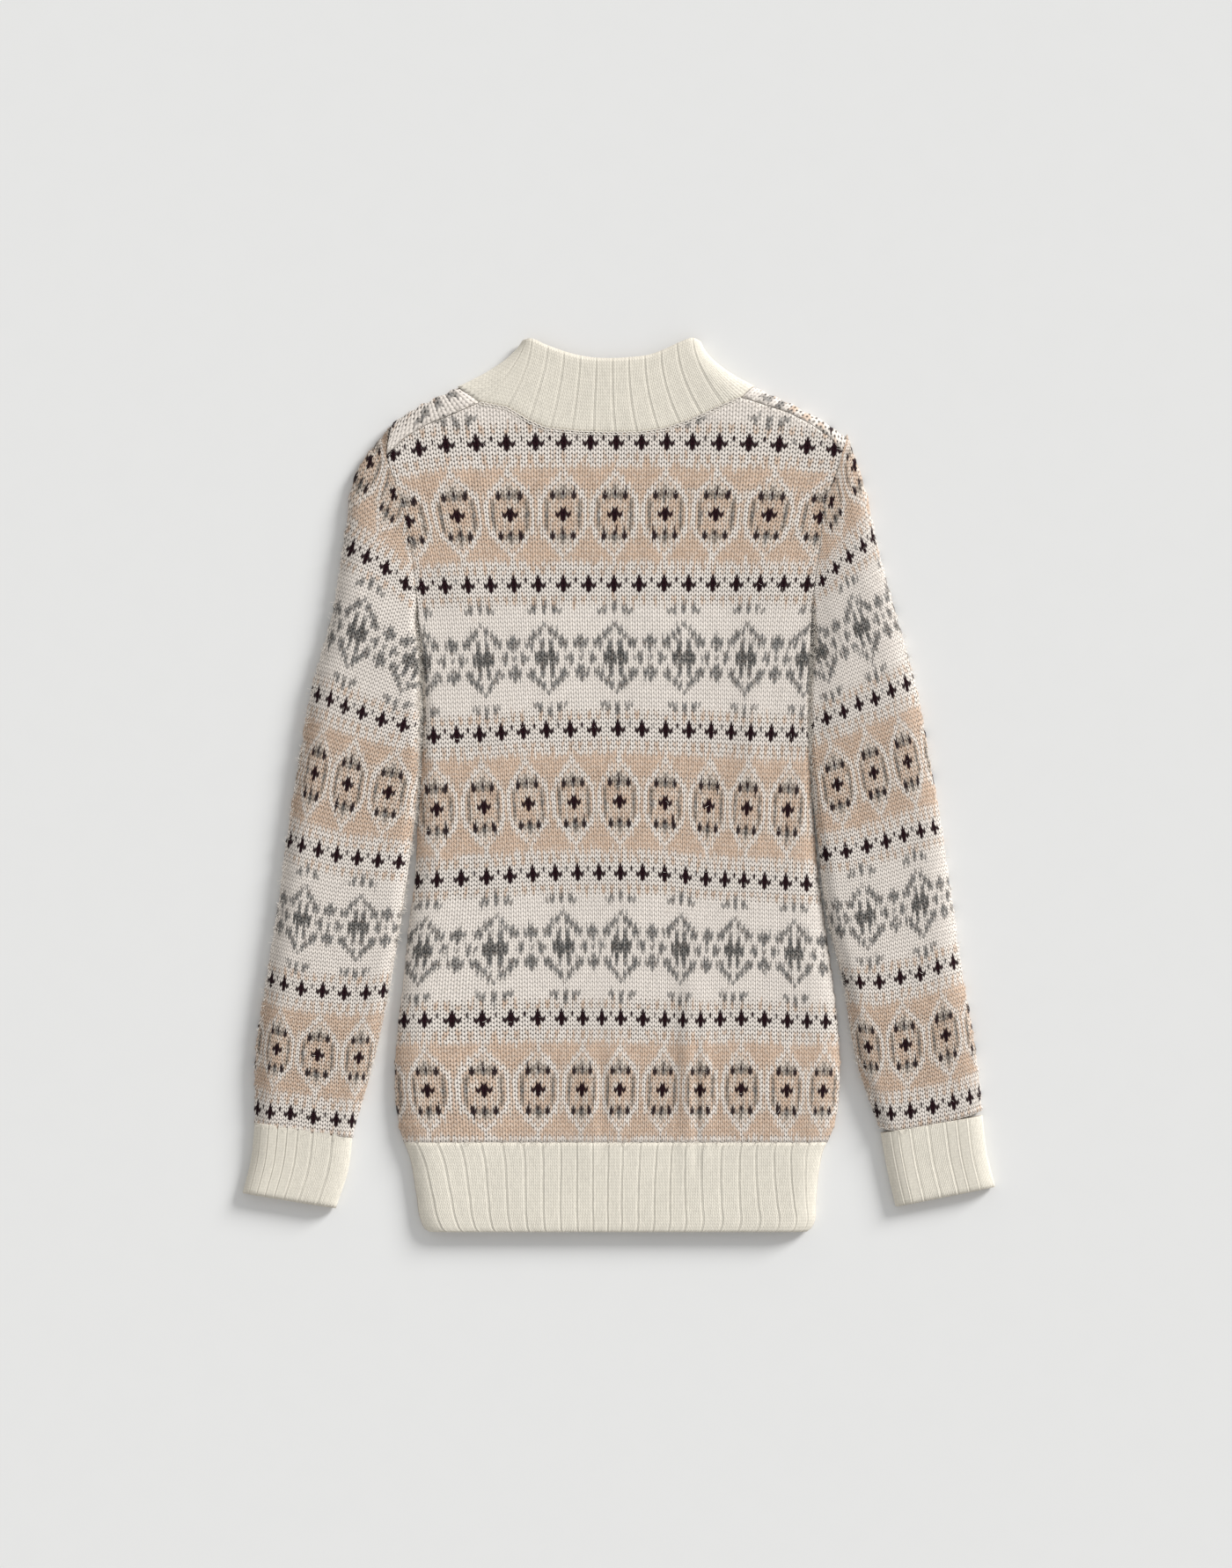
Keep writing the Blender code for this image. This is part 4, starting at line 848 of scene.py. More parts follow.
def makeSleeve(name, side, marks, table):
    warp = makeWarp(marks)
    upKeys = table[:, 1]
    outerX = lambda up: smooth(np.append(upKeys, 700), np.append(table[:, 0], table[-1, 0] - side * 30), up)
    innerTable = np.vstack([table[:, 2:4], [(side * 148.0, 530.0), (side * 138.0, 640.0)]])
    innerX = lambda up: smooth(innerTable[:, 1], innerTable[:, 0], up)
    rowKeys = np.arange(0, 200, 1.0)
    ends = []
    for row in rowKeys:
        # stitches count up from the outer fold to the inner one
        x, up = warp(wide, row)
        ends.append([np.interp(0, -side * (x - edgeX(up)), wide) for edgeX in (outerX, innerX)])
    ends = np.array(ends)
    outerStitch = lambda r: np.interp(r, rowKeys, ends[:, 0])
    innerStitch = lambda r: np.interp(r, rowKeys, ends[:, 1])
    around = sleeve["around"]
    half = around / 2

    def surface(sv, rv):
        so, si = outerStitch(rv), innerStitch(rv)
        ox, oup = warp(so, rv)
        ix, iup = warp(si, rv)
        above = (sv >= so) & (sv <= si)
        below = np.maximum(around - (si - so), 1)
        turned = np.where(sv < so, (so - sv) / below, 1 - (sv - si) / below)
        tx, tup = warp(np.clip(sv, so, si), rv)
        x = np.where(above, tx, ox + turned * (ix - ox))
        up = np.where(above, tup, oup + turned * (iup - oup))
        fromOuter = np.hypot(x - ox, up - oup)
        fromInner = np.hypot(x - ix, up - iup)
        heading = headingOut(ox, oup, ix, iup)[0]
        height = smooth((table[:, 1] + table[:, 3]) / 2, table[:, 4], (oup + iup) / 2)
        # beside the body the right sleeve comes down to its height
        close = ramp(iup, closeArm[0] - 20, closeArm[1] - 10)
        if side > 0:
            height = height - close * (height - bodyHeight) * np.exp(-(fromInner / 16) ** 2)
        innerReach = sleeve["inner"] - sleeve["tighter"][side] * close
        sIn, cIn = arc(fromInner, np.where(above, innerReach, underRound))
        sOut, cOut = arc(fromOuter, np.where(above, sleeve["outer"], underRound))
        sine = sIn * sOut
        z = np.where(above, foldHeight + (height - foldHeight) * sine, foldHeight * (1 - sine))
        x, up = x + heading[..., 0] * bumps(rv) * cOut, up + heading[..., 1] * bumps(rv) * cOut
        return stack(x, up, z), tubeNormal(heading, cOut, cIn, sine, above)

    # the armhole cuts each wale where it meets the body's side
    stitches = np.arange(-half, half, 0.25)
    tops = []
    for stitch in stitches:
        points = surface(np.full(len(longRows), stitch), longRows)[0]
        gap = side * (points[:, 0] - sideX(side, points[:, 1])) - 0.3
        past = np.nonzero((gap < 0) & (longRows > 90))[0]
        k = past[0] if len(past) else len(longRows) - 1
        part = gap[k - 1] / (gap[k - 1] - gap[k]) if gap[k - 1] > gap[k] else 0
        tops.append(longRows[k - 1] + part * 0.5)
    tops = np.array(tops)
    lines = np.concatenate([[0], np.arange(0.5, tops.max() + 0.5)])
    s, r = np.meshgrid(stitches, lines)
    rise = zig(s)
    rise[0] = 0
    r = np.clip(r + rise, 0, tops[None, :])
    inner = np.linspace(0, 1, 14)[:, None] * tops[None, :]
    wales = np.arange(-int(half), int(half)).astype(int)
    yarn, gapShade = drawBands(wales, np.arange(len(lines)), sleeveBands, sleeve["shift"])
    # the painted shade in the sleeves' gaps is half again as dark
    drawn = yarn, np.minimum(gapShade * 1.5, 0.95)

    def dipped(sv, rv):
        points, normal = surface(sv, rv)
        end = np.interp(sv, stitches, tops)
        dip = knit["seamDip"] * (np.exp(-(end - rv) / 0.6) + np.exp(-rv / 0.6))
        points = points - np.minimum(dip, 1.3)[:, None] * normal * (normal[:, 2:] > 0.2)
        # the sleeve comes down to the body along the armhole
        points[:, 2] -= np.maximum(points[:, 2] - bodyHeight, 0) * np.exp(-(end - rv) / 2.5)
        return points, normal

    def relief(sv, rv):
        above = (sv > outerStitch(rv)) & (sv < innerStitch(rv))
        return legs(sv, knit["leg"]) * np.minimum(1, rv) * above

    return tube(name, s, r, inner, dipped, relief, pickYarn(drawn, shift=2), knit["wall"], jacquard, side > 0)


sleeveLeftKnit = makeSleeve("sleeveLeftKnit", -1, leftMarks, leftSleeve)
sleeveRightKnit = makeSleeve("sleeveRightKnit", 1, rightMarks, rightSleeve)
print("sleeves knitted", len(sleeveLeftKnit.data.polygons), len(sleeveRightKnit.data.polygons))


# where each cuff's grooves lie, as shares from its outer fold to its inner one
cuff = {"length": 62.0, "round": 15.0, -1: [0, 0.07, 0.15, 0.24, 0.335, 0.44, 0.59, 0.79, 1.0],
        1: [0, 0.15, 0.26, 0.37, 0.54, 0.71, 0.83, 0.90, 1.0]}


def makeCuff(name, side, table):
    grooves, length = cuff[side], cuff["length"]
    count = (len(grooves) - 1) * rib["stitches"]

    def surface(sv, rv):
        ox, oup, ix, iup, height = rowsThrough(table, rv * rib["row"] / length)
        above = sv <= count
        upper = np.interp(sv / rib["stitches"], np.arange(len(grooves)), grooves)
        share = np.where(above, upper, 2 - sv / count)
        x, up = ox + share * (ix - ox), oup + share * (iup - oup)
        heading, across = headingOut(ox, oup, ix, iup)
        reach = np.where(above, cuff["round"], underRound)
        sIn, cIn = arc((1 - share) * across, reach)
        sOut, cOut = arc(share * across, reach)
        sine = sIn * sOut
        end = np.exp(-rv / 0.8) * 0.10 + np.exp(-(length / rib["row"] - rv) / 0.7) * 0.6
        z = np.where(above, foldHeight + (height - foldHeight) * sine - end * sine, foldHeight * (1 - sine))
        return stack(x, up, z), tubeNormal(heading, cOut, cIn, sine, above)

    def relief(sv, rv):
        return ribRelief(sv, rv) * (sv <= count)

    s, r = ribGrid(0, 2 * count - 0.25, cuff["length"] / rib["row"])
    inner = np.linspace(0, cuff["length"] / rib["row"], 5)[:, None] + 0 * s[:1]
    return tube(name, s, r, inner, surface, relief, ribYarn, rib["wall"], ribbed, side < 0)


cuffLeftRib = makeCuff("cuffLeftRib", -1, leftCuff)
cuffRightRib = makeCuff("cuffRightRib", 1, rightCuff)
print("cuffs ribbed")


def neckFront(x, endX, endUp, low):
    share = np.clip((np.abs(x) - 15) / (np.abs(endX) - 15), 0, 1)
    return low + (endUp - low) * share**2


def liftOf(side, x):
    # the left pieces climb onto the right band near the centre front
    return (bandLift * ramp(x, -44.0, -17.0)) if side < 0 else 0.0 * x


collar = {"height": 52.0, "row": 2.4, "ribs": (-9.5, 18.5), "depth": 0.30, "round": 13.0, "bow": 7.5,
          "firstRib": (-0.668, -0.897), "lastRib": (0.786, 0.906)}
neckLine = backTop[(backTop[:, 0] >= neckLeft) & (backTop[:, 0] <= neckRight)]
collarSeam = np.vstack([leftFold[-1:], neckLine, rightFold[:1]])


def collarSurface(w, height):
    # w is -100 to 100 behind the neck and runs on underneath; height is in millimetres up the collar
    w, t = np.asarray(w, float) / 100, np.clip(np.asarray(height, float) / collar["height"], 0, 1)
    side = np.where(w < 0, -1.0, 1.0)
    bow = collar["bow"] * 4 * t * (1 - t)
    lowEnds, highEnds = collarSeam[[0, -1]], collarTop[[0, -1]]
    leftX, rightX = [lowEnds[k, 0] + t * (highEnds[k, 0] - lowEnds[k, 0]) + turn * bow
                     for k, turn in ((0, 1), (1, -1))]
    foldX = np.where(w < 0, leftX, rightX)
    behind = np.abs(w) <= 1
    s = (np.clip(w, -1, 1) + 1) / 2
    a = lowEnds[0, 0] + s * (lowEnds[1, 0] - lowEnds[0, 0])
    b = highEnds[0, 0] + s * (highEnds[1, 0] - highEnds[0, 0])
    low = np.interp(a, collarSeam[:, 0], collarSeam[:, 1]) + 0.25
    high = smooth(collarTop[:, 0], collarTop[:, 1], b)
    x = leftX + s * (rightX - leftX)
    sine, cosine = arc((1 - np.abs(np.clip(w, -1, 1))) * (rightX - leftX) / 2, collar["round"])
    under = np.clip(np.abs(w) - 1, 0, 1)

    def frontEdge(ends, lowest):
        # the height of an edge underneath, from the fold to the band
        endX, endUp = [np.where(w < 0, ends[0, k], ends[1, k]) for k in (0, 1)]
        return neckFront(endX + under * (side * bandEdge - endX), endX, endUp, lowest)

    low = np.where(behind, low, frontEdge(lowEnds, neckLow) + 0.5)
    high = np.where(behind, high, frontEdge(highEnds, bandTop))
    x = np.where(behind, x, foldX + under * (side * bandEdge - foldX))
    sine2, cosine2 = arc(np.abs(x - foldX), underRound)
    up = low + t * (high - low)
    z = np.where(behind, foldHeight + (bodyHeight - foldHeight) * sine - np.exp(-t / 0.02) * 0.6 * sine,
                 foldHeight * (1 - sine2) + np.where(w < 0, liftOf(-1, x), 0))
    # its top edge rolls over a little
    z = z - np.where(behind, np.exp(-(1 - t) / 0.03) * 0.5 * sine, 0)
    c = np.where(behind, cosine, cosine2)
    normal = unit(stack(side * c * 0.85, c * 0.5, np.where(behind, sine, -sine2)))
    return stack(x, up, z), normal


def collarCloth(sv, rv):
    # ribs: ten full ones behind the neck fan out as they rise, one or two turn under at each side
    t = rv * collar["row"] / collar["height"]
    ribs = sv / rib["stitches"]
    left, right = [foot + t * (top - foot) for foot, top in (collar["firstRib"], collar["lastRib"])]
    w = np.where(ribs < 0, left + ribs / 2 * (left + 1), left + ribs / 10 * (right - left))
    w = np.where(ribs > 10, right + (ribs - 10) * (1 - right), w)
    w = np.where(ribs < -2, -1 + (ribs + 2) / 7.5, w)
    w = np.where(ribs > 11, 1 + (ribs - 11) / 7.5, w)
    return np.clip(w, -2, 2) * 100, rv * collar["row"]


def makeCollar():
    s, r = ribGrid(*[ribs * rib["stitches"] for ribs in collar["ribs"]], collar["height"] / collar["row"])

    def relief(sv, rv):
        ribs = sv / rib["stitches"]
        shown = ramp(ribs, -2.3, -1.5) * (1 - ramp(ribs, 10.6, 11.2))
        return ribRelief(sv, rv, collar["depth"]) * shown

    return panel("collarRib", s, r, collarCloth, collarSurface, relief, ribYarn, rib["wall"], ribbed)


collarRib = makeCollar()
print("collar ribbed", len(collarRib.data.polygons))


def foldLine(side, x):
    return np.interp(x, *(leftFold if side < 0 else rightFold).T)


# the fronts' rows lie higher than the back's, so that they reach over the shoulder folds
frontMarks = {row: [(s, x, hemUp + (up - hemUp) * (1 + 0.04 * row / 128)) for s, x, up in bodyMarks[row]]
              for row in (0, 28, 62, 94, 128)}
frontMarks[160] = [(-40, -196, 616), (-35, -173, 623), (-30, -149, 629), (-26, -131, 632), (-20, -103, 636),
                   (-10, -48, 640), (0, 0, 640), (10, 42, 640), (20, 91, 636), (26, 118.4, 631),
                   (30, 136.5, 628), (35, 163, 618), (40, 186, 611)]
frontMarks[200] = [(s, x, up + 138) for s, x, up in frontMarks[160]]
frontWarp = makeWarp(frontMarks)
front = {"round": 9.0, "neckRound": 8.0, "neckDip": 0.8, "clear": 1.4, "longest": 8.0, "relief": 0.3,
         "tipUp": {-1: 626, 1: 613}}


def makeFront(name, side):
    (neckX, neckUp), armX = (leftFold[-1], leftFold[0, 0]) if side < 0 else (rightFold[0], rightFold[-1, 0])
    tipX, neckSeam = (backTop[0, 0], neckLeft) if side < 0 else (backTop[-1, 0], neckRight)
    tipUp = front["tipUp"][side]
    neckEnd = np.abs(neckX)

    def seamUp(x):
        # the seam on the back that each point of the shoulder fold is sewn to
        share = np.clip((x - armX) / (neckX - armX), 0, 1)
        seamX = tipX + share * (neckSeam - tipX)
        return seamX, np.interp(seamX, backTop[:, 0], backTop[:, 1]) + 0.4

    def surface(x, up):
        edge = np.abs(x - sideX(side, np.minimum(up, tipUp)))
        fade = 1 - ramp(up, underarmUp - back["armFade"], underarmUp + 2)
        sine, cosine = arc(edge, underRound)
        fold = foldLine(side, x)
        over = np.clip(up - fold, 0, None)
        seamX, seam = seamUp(x)
        whole = np.hypot(seamX - x, fold - seam)
        toFold = np.maximum(fold - up, 0)
        foldSine, foldCosine = arc(toFold, underRound)
        inNeck = np.abs(x) < neckEnd - front["clear"]
        foldSine, foldCosine = np.where(inNeck, 1.0, foldSine), np.where(inNeck, 0.0, foldCosine)
        under = foldHeight * ((1 - sine) * fade + (1 - foldSine)) + liftOf(side, x)
        part = np.clip(over / np.maximum(whole, 1), 0, 1)
        nearNeck = np.exp(-np.abs(np.abs(x) - neckEnd) / 10.0)
        reach = front["round"] + front["neckRound"] * nearNeck
        sineUp, cosineUp = arc(over, np.minimum(reach, 0.9 * whole))
        top = foldHeight + (bodyHeight - foldHeight) * sineUp
        top = top - knit["seamDip"] * np.exp(-(whole - over) / 2.4)
        top = top - front["neckDip"] * sineUp * np.exp(-np.maximum(np.abs(x) - neckEnd, 0) / 2.5)
        lifted = over > 0
        px = np.where(lifted, x + part * (seamX - x), x)
        pup = np.where(lifted, fold - part * (fold - seam), up)
        z = np.where(lifted, top, under)
        nx = np.where(lifted, 0.0, side * cosine * fade)
        nup = np.where(lifted, cosineUp, foldCosine)
        nz = np.where(lifted, sineUp, -(1 - fade * (1 - sine)) * foldSine)
        return stack(px, pup, z), unit(stack(nx, nup, nz))

    rowLines = np.concatenate([[0], np.arange(0.5, 205)])
    highest = front["tipUp"][-1]
    outline = sideStitches(frontWarp, side, rowLines, lambda up: sideX(side, np.minimum(up, highest)))
    holdAbove(frontWarp, outline, rowLines, tipUp)
    centre = sideStitches(frontWarp, side, rowLines, lambda up: side * bandEdge + 0 * up)
    low, high = (outline, centre) if side < 0 else (centre, outline)
    tops = []
    for stitch in fine:
        x, up = frontWarp(stitch, longRows)
        fold = foldLine(side, x)
        seamX, seam = seamUp(x)
        limit = np.where(np.abs(x) < neckEnd - front["clear"], neckFront(x, neckX, neckUp, neckLow),
                         fold + np.hypot(seamX - x, fold - seam))
        tops.append(np.interp(0, up - limit, longRows))
    tops = np.array(tops)
    stitches = np.arange(np.floor(low.min()) - 0.5, np.ceil(high.max()) + 0.51, 0.5)
    s, r = clampRows(stitches, rowLines, low, high, lambda at: np.interp(at, fine, tops))
    wales = np.arange(np.ceil(stitches[0]), stitches[-1]).astype(int)
    drawn = drawBands(wales, np.arange(len(rowLines)), bodyBands)

    def relief(sv, rv):
        # the underside lies flat; the legs show only where the cloth comes over the shoulder
        x, up = frontWarp(sv, rv)
        over = up - foldLine(side, x)
        return front["relief"] * ramp(over, 2.0, 9.0) * (1 - np.abs(2 * ((sv + 0.5) % 1.0) - 1))

    return panel(name, s, r, frontWarp, surface, relief,
                 pickYarn(drawn, every=2), knit["wall"], jacquard, down=True, longest=front["longest"])


frontLeftKnit = makeFront("frontLeftKnit", -1)
frontRightKnit = makeFront("frontRightKnit", 1)
print("fronts knitted", len(frontLeftKnit.data.polygons))


def makeHemFront(name, side):
    def surface(x, up):
        left, right = hemOutline(up)
        edge = np.abs(x - (left if side < 0 else right))
        sine, cosine = arc(edge, underRound)
        return (stack(x, up, foldHeight * (1 - sine) + liftOf(side, x)),
                unit(stack(side * cosine, 0.0, -sine)))

    def cloth(sv, rv):
        up = rv * rib["row"]
        left, right = hemOutline(up)
        edge = left if side < 0 else right
        return edge + sv / hem["frontStitches"] * (side * bandEdge - edge), up

    s, r = ribGrid(0, hem["frontStitches"], hemUp / rib["row"], 0.5)
    return panel(name, s, r, cloth, surface, plain, ribYarn, rib["wall"], ribbed, down=side < 0)


hemFrontLeftRib = makeHemFront("hemFrontLeftRib", -1)
hemFrontRightRib = makeHemFront("hemFrontRightRib", 1)


buttonUps = np.linspace(24.0, 606.0, 7)
# the right band has a seat for each button; the left one lies on it
band = {"half": 15.0, "stitches": 14, "seat": 2.4, "seatEdge": (9.5, 11.0), "wall": {-1: 3.0, 1: 0.5}}


def makeBand(name, side):
    floor = 0.0 if side > 0 else bandLift

    def surface(x, up):
        z = floor + 0 * x
        if side > 0:
            near = np.min(np.hypot(x[..., None], up[..., None] - buttonUps), axis=-1)
            z = z + band["seat"] * (1 - ramp(near, *band["seatEdge"]))
        return stack(x, up, z), stack(0 * x, 0.0, -1.0)

    lines = np.arange(0, bandTop / rib["row"] + 0.01, 1.0)
    lines = lines * (bandTop / rib["row"]) / lines[-1]
    s, r = np.meshgrid(np.arange(0, band["stitches"] + 0.01, 0.5), lines)
    rise = zig(s)
    rise[[0, -1]] = 0

    def cloth(sv, rv):
        return (2 * sv / band["stitches"] - 1) * band["half"], rv * rib["row"]

    return panel(name, s, r + rise, cloth, surface, plain, ribYarn, band["wall"][side], ribbed, down=True,
                 spacing=9.0)


bandLeftRib = makeBand("bandLeftRib", -1)
bandRightRib = makeBand("bandRightRib", 1)


# profile: radius and height of the turned disc in millimetres, its face with the thread on the table;
# the rest is in metres
button = {"profile": [(0.0, 0.7), (5.2, 0.7), (6.4, 0.35), (7.2, 0.0), (8.2, 0.05), (8.8, 0.5), (9.0, 1.1),
                      (8.7, 1.8), (8.0, 2.2), (0.0, 2.2)],
          "hole": 0.0009, "apart": 0.0017, "thread": 0.0004, "bar": 0.0054}


def toMesh(name, shape):
    data = bpy.data.meshes.new(name)
    shape.to_mesh(data)
    shape.free()
    return data


def bar(shape, radius, depth, segments, matrix):
    return bmesh.ops.create_cone(shape, cap_ends=True, segments=segments, radius1=radius, radius2=radius,
                                 depth=depth, matrix=matrix)["verts"]


def makeButton(name, up):
    # a turned disc with a rim and four holes, sewn with a cross of thread
    disc = bmesh.new()
    points = [disc.verts.new((r * 0.001, 0.0, z * 0.001)) for r, z in button["profile"]]
    edges = [disc.edges.new(pair) for pair in zip(points, points[1:])]
    bmesh.ops.spin(disc, geom=points + edges, cent=(0, 0, 0), axis=(0, 0, 1), angle=2 * pi, steps=48,
                   use_merge=True)
    bmesh.ops.remove_doubles(disc, verts=disc.verts, dist=1e-6)
    bmesh.ops.recalc_face_normals(disc, faces=disc.faces)
    made = show(name, toMesh(name, disc))
    drill = bmesh.new()
    for x, y in ((1, 1), (1, -1), (-1, 1), (-1, -1)):
        bar(drill, button["hole"], 0.006, 16,
            Matrix.Translation((x * button["apart"], y * button["apart"], 0.0015)))
    tool = show("holes", toMesh("holes", drill))
    cut = made.modifiers.new("holes", "BOOLEAN")
    cut.operation = "DIFFERENCE"
    cut.object = tool
    finished = bpy.data.meshes.new_from_object(made.evaluated_get(bpy.context.evaluated_depsgraph_get()))
    made.modifiers.clear()
    made.data = finished
    bpy.data.objects.remove(tool)
    sewn = bmesh.new()
    sewn.from_mesh(finished)
    bars = bmesh.new()
    for turn in (pi / 4, -pi / 4):
        across = bar(bars, button["thread"], button["bar"], 8,
                     Matrix.Rotation(turn, 4, "Z") @ Matrix.Rotation(pi / 2, 4, "Y"))
        bmesh.ops.translate(bars, verts=across, vec=(0, 0, 0.0006))
    before = len(sewn.faces)
    sewn.from_mesh(toMesh("bars", bars))
    for k, face in enumerate(sewn.faces):
        face.material_index = 1 if k >= before else 0
        face.smooth = True
    bmesh.ops.translate(sewn, verts=sewn.verts, vec=(middle[0] * 0.001, (up + middle[1]) * 0.001, 0.0))
    sewn.to_mesh(finished)
    sewn.free()
    finished.materials.clear()
    for look in (horn, thread):
        finished.materials.append(look)
    finished.set_sharp_from_angle(angle=0.7)
    return made


buttons = [makeButton(f"sewnButton{k + 1}", up) for k, up in enumerate(buttonUps)]
print("buttons made")


def newTree(name, sockets):
    tree = bpy.data.node_groups.new(name, "GeometryNodeTree")
    tree.interface.new_socket("Geometry", in_out="INPUT", socket_type="NodeSocketGeometry")
    for title, kind in sockets:
        tree.interface.new_socket(title, in_out="INPUT", socket_type=kind)
    tree.interface.new_socket("Geometry", in_out="OUTPUT", socket_type="NodeSocketGeometry")
    return tree


def wire(tree, kind, inputs=(), **settings):
    made = tree.nodes.new(kind)
    for key, value in settings.items():
        setattr(made, key, value)
    for key, value in dict(inputs).items():
        if isinstance(value, bpy.types.NodeSocket):
            tree.links.new(value, made.inputs[key])
        else:
            made.inputs[key].default_value = value
    return made


def finishTree(tree, geometry, material):
    real = wire(tree, "GeometryNodeRealizeInstances", {"Geometry": geometry})
    dressed = wire(tree, "GeometryNodeSetMaterial", {"Geometry": real.outputs[0], "Material": material})
    tree.links.new(dressed.outputs[0], wire(tree, "NodeGroupOutput").inputs[0])


def fieldOf(tree, kind):
    return wire(tree, "ShaderNodeSeparateXYZ", {0: wire(tree, kind).outputs[0]}).outputs


# fibres start only above the lowest height, and none goes below the table; the densities are a square
# metre's, on the flat and along the edges, and the radius is a share of the length
fuzz = {"lowest": 0.0075, "table": 0.0003, "density": 5000.0, "backEdge": 3600000.0,
        "sleeveEdge": 2400000.0, "length": 0.0034, "radius": 0.028}

fuzzTree = newTree("loose fibres", [("Density", "NodeSocketFloat"), ("Edge density", "NodeSocketFloat"),
                                    ("Length", "NodeSocketFloat"), ("Seed", "NodeSocketInt")])
given = wire(fuzzTree, "NodeGroupInput").outputs
outsideOnly = wire(fuzzTree, "GeometryNodeInputNamedAttribute", {"Name": "outside"},
                   data_type="FLOAT").outputs[0]
facing = fieldOf(fuzzTree, "GeometryNodeInputNormal")[2]
heightHere = fieldOf(fuzzTree, "GeometryNodeInputPosition")[2]
edgeShare = wire(fuzzTree, "ShaderNodeMapRange", {"Value": facing, "From Min": 0.75, "From Max": 0.3})
crowd = wire(fuzzTree, "ShaderNodeMix",
             {0: edgeShare.outputs[0], 2: given["Density"], 3: given["Edge density"]})
crowdHere = wire(fuzzTree, "ShaderNodeMath", {0: crowd.outputs[0], 1: outsideOnly}, operation="MULTIPLY")
clear = wire(fuzzTree, "FunctionNodeCompare", {0: heightHere, 1: fuzz["lowest"]}, data_type="FLOAT",
             operation="GREATER_THAN")
points = wire(fuzzTree, "GeometryNodeDistributePointsOnFaces",
              {"Mesh": given["Geometry"], "Selection": clear.outputs[0], "Density": crowdHere.outputs[0],
               "Seed": given["Seed"]})
hairLine = wire(fuzzTree, "GeometryNodeCurveQuadraticBezier",
                {"Resolution": 1, "Start": (0, 0, -0.05), "Middle": (0.35, 0.10, 0.34),
                 "End": (0.78, 0.0, 0.58)})
hairRound = wire(fuzzTree, "GeometryNodeCurvePrimitiveCircle", {"Resolution": 3, "Radius": fuzz["radius"]})
hair = wire(fuzzTree, "GeometryNodeCurveToMesh", {0: hairLine.outputs[0], 1: hairRound.outputs[0],
                                                  "Fill Caps": True})
turns = wire(fuzzTree, "FunctionNodeRandomValue", {"Min": (-0.22, -0.22, 0.0), "Max": (0.22, 0.22, 6.283),
                                                   "Seed": given["Seed"]}, data_type="FLOAT_VECTOR")
turned = wire(fuzzTree, "FunctionNodeRotateRotation",
              {0: points.outputs["Rotation"],
               1: wire(fuzzTree, "FunctionNodeEulerToRotation", {0: turns.outputs[0]}).outputs[0]},
              rotation_space="LOCAL")
spreadSize = wire(fuzzTree, "FunctionNodeRandomValue", {2: 0.5, 3: 1.5, "Seed": given["Seed"]},
                  data_type="FLOAT")
hairSize = wire(fuzzTree, "ShaderNodeMath", {0: given["Length"], 1: spreadSize.outputs[1]},
                operation="MULTIPLY")
scattered = wire(fuzzTree, "GeometryNodeInstanceOnPoints",
                 {"Points": points.outputs["Points"], "Instance": hair.outputs[0],
                  "Rotation": turned.outputs[0], "Scale": hairSize.outputs[0]})
# fibres that would reach through the table lie on it
placed = wire(fuzzTree, "GeometryNodeRealizeInstances", {"Geometry": scattered.outputs[0]})
spot = fieldOf(fuzzTree, "GeometryNodeInputPosition")
lifted = wire(fuzzTree, "ShaderNodeMath", {0: spot[2], 1: fuzz["table"]}, operation="MAXIMUM")
settled = wire(fuzzTree, "GeometryNodeSetPosition",
               {"Geometry": placed.outputs[0],
                "Position": wire(fuzzTree, "ShaderNodeCombineXYZ",
                                 {0: spot[0], 1: spot[1], 2: lifted.outputs[0]}).outputs[0]})
finishTree(fuzzTree, settled.outputs[0], fibreLooks)


def grown(name, mesh, tree, values):
    # runs a node tree on a mesh and keeps what it makes as a plain mesh
    made = show(name, mesh)
    used = made.modifiers.new(name, "NODES")
    sockets = {item.name: item.identifier for item in tree.interface.items_tree if item.in_out == "INPUT"}
    for key, value in values.items():
        used[sockets[key]] = value
    used.node_group = tree
    for key, value in values.items():
        used[sockets[key]] = value
    result = bpy.data.meshes.new_from_object(made.evaluated_get(bpy.context.evaluated_depsgraph_get()))
    made.modifiers.clear()
    made.data = result
    return made


def fuzzOf(name, piece, edge, seed):
    return grown(name, piece.data, fuzzTree, {"Density": fuzz["density"], "Edge density": edge,
                                              "Length": fuzz["length"], "Seed": seed})


backFuzz = fuzzOf("backFuzz", backKnit, fuzz["backEdge"], 3)
sleeveLeftFuzz = fuzzOf("sleeveLeftFuzz", sleeveLeftKnit, fuzz["sleeveEdge"], 4)
sleeveRightFuzz = fuzzOf("sleeveRightFuzz", sleeveRightKnit, fuzz["sleeveEdge"], 5)
print("fuzz grown", [len(o.data.polygons) for o in (backFuzz, sleeveLeftFuzz, sleeveRightFuzz)])

# the loops that link the collar: pitch in millimetres, width for each of them and yarn in metres
link = {"pitch": 3.7, "width": 0.00056, "yarn": 0.0004}

linkTree = newTree("linked loops", [("Loop width", "NodeSocketFloat"), ("Yarn", "NodeSocketFloat")])
given = wire(linkTree, "NodeGroupInput").outputs
along = wire(linkTree, "GeometryNodeInputNamedAttribute", {"Name": "turn"},
             data_type="FLOAT_VECTOR").outputs[0]
loopRing = wire(linkTree, "GeometryNodeCurvePrimitiveCircle",
                {"Resolution": 12, "Radius": given["Loop width"]})
squeezed = wire(linkTree, "GeometryNodeTransform",
                {"Geometry": loopRing.outputs[0], "Scale": (1.0, 0.5, 1.0)})
yarnRound = wire(linkTree, "GeometryNodeCurvePrimitiveCircle", {"Resolution": 6, "Radius": given["Yarn"]})
loop = wire(linkTree, "GeometryNodeCurveToMesh", {0: squeezed.outputs[0], 1: yarnRound.outputs[0]})
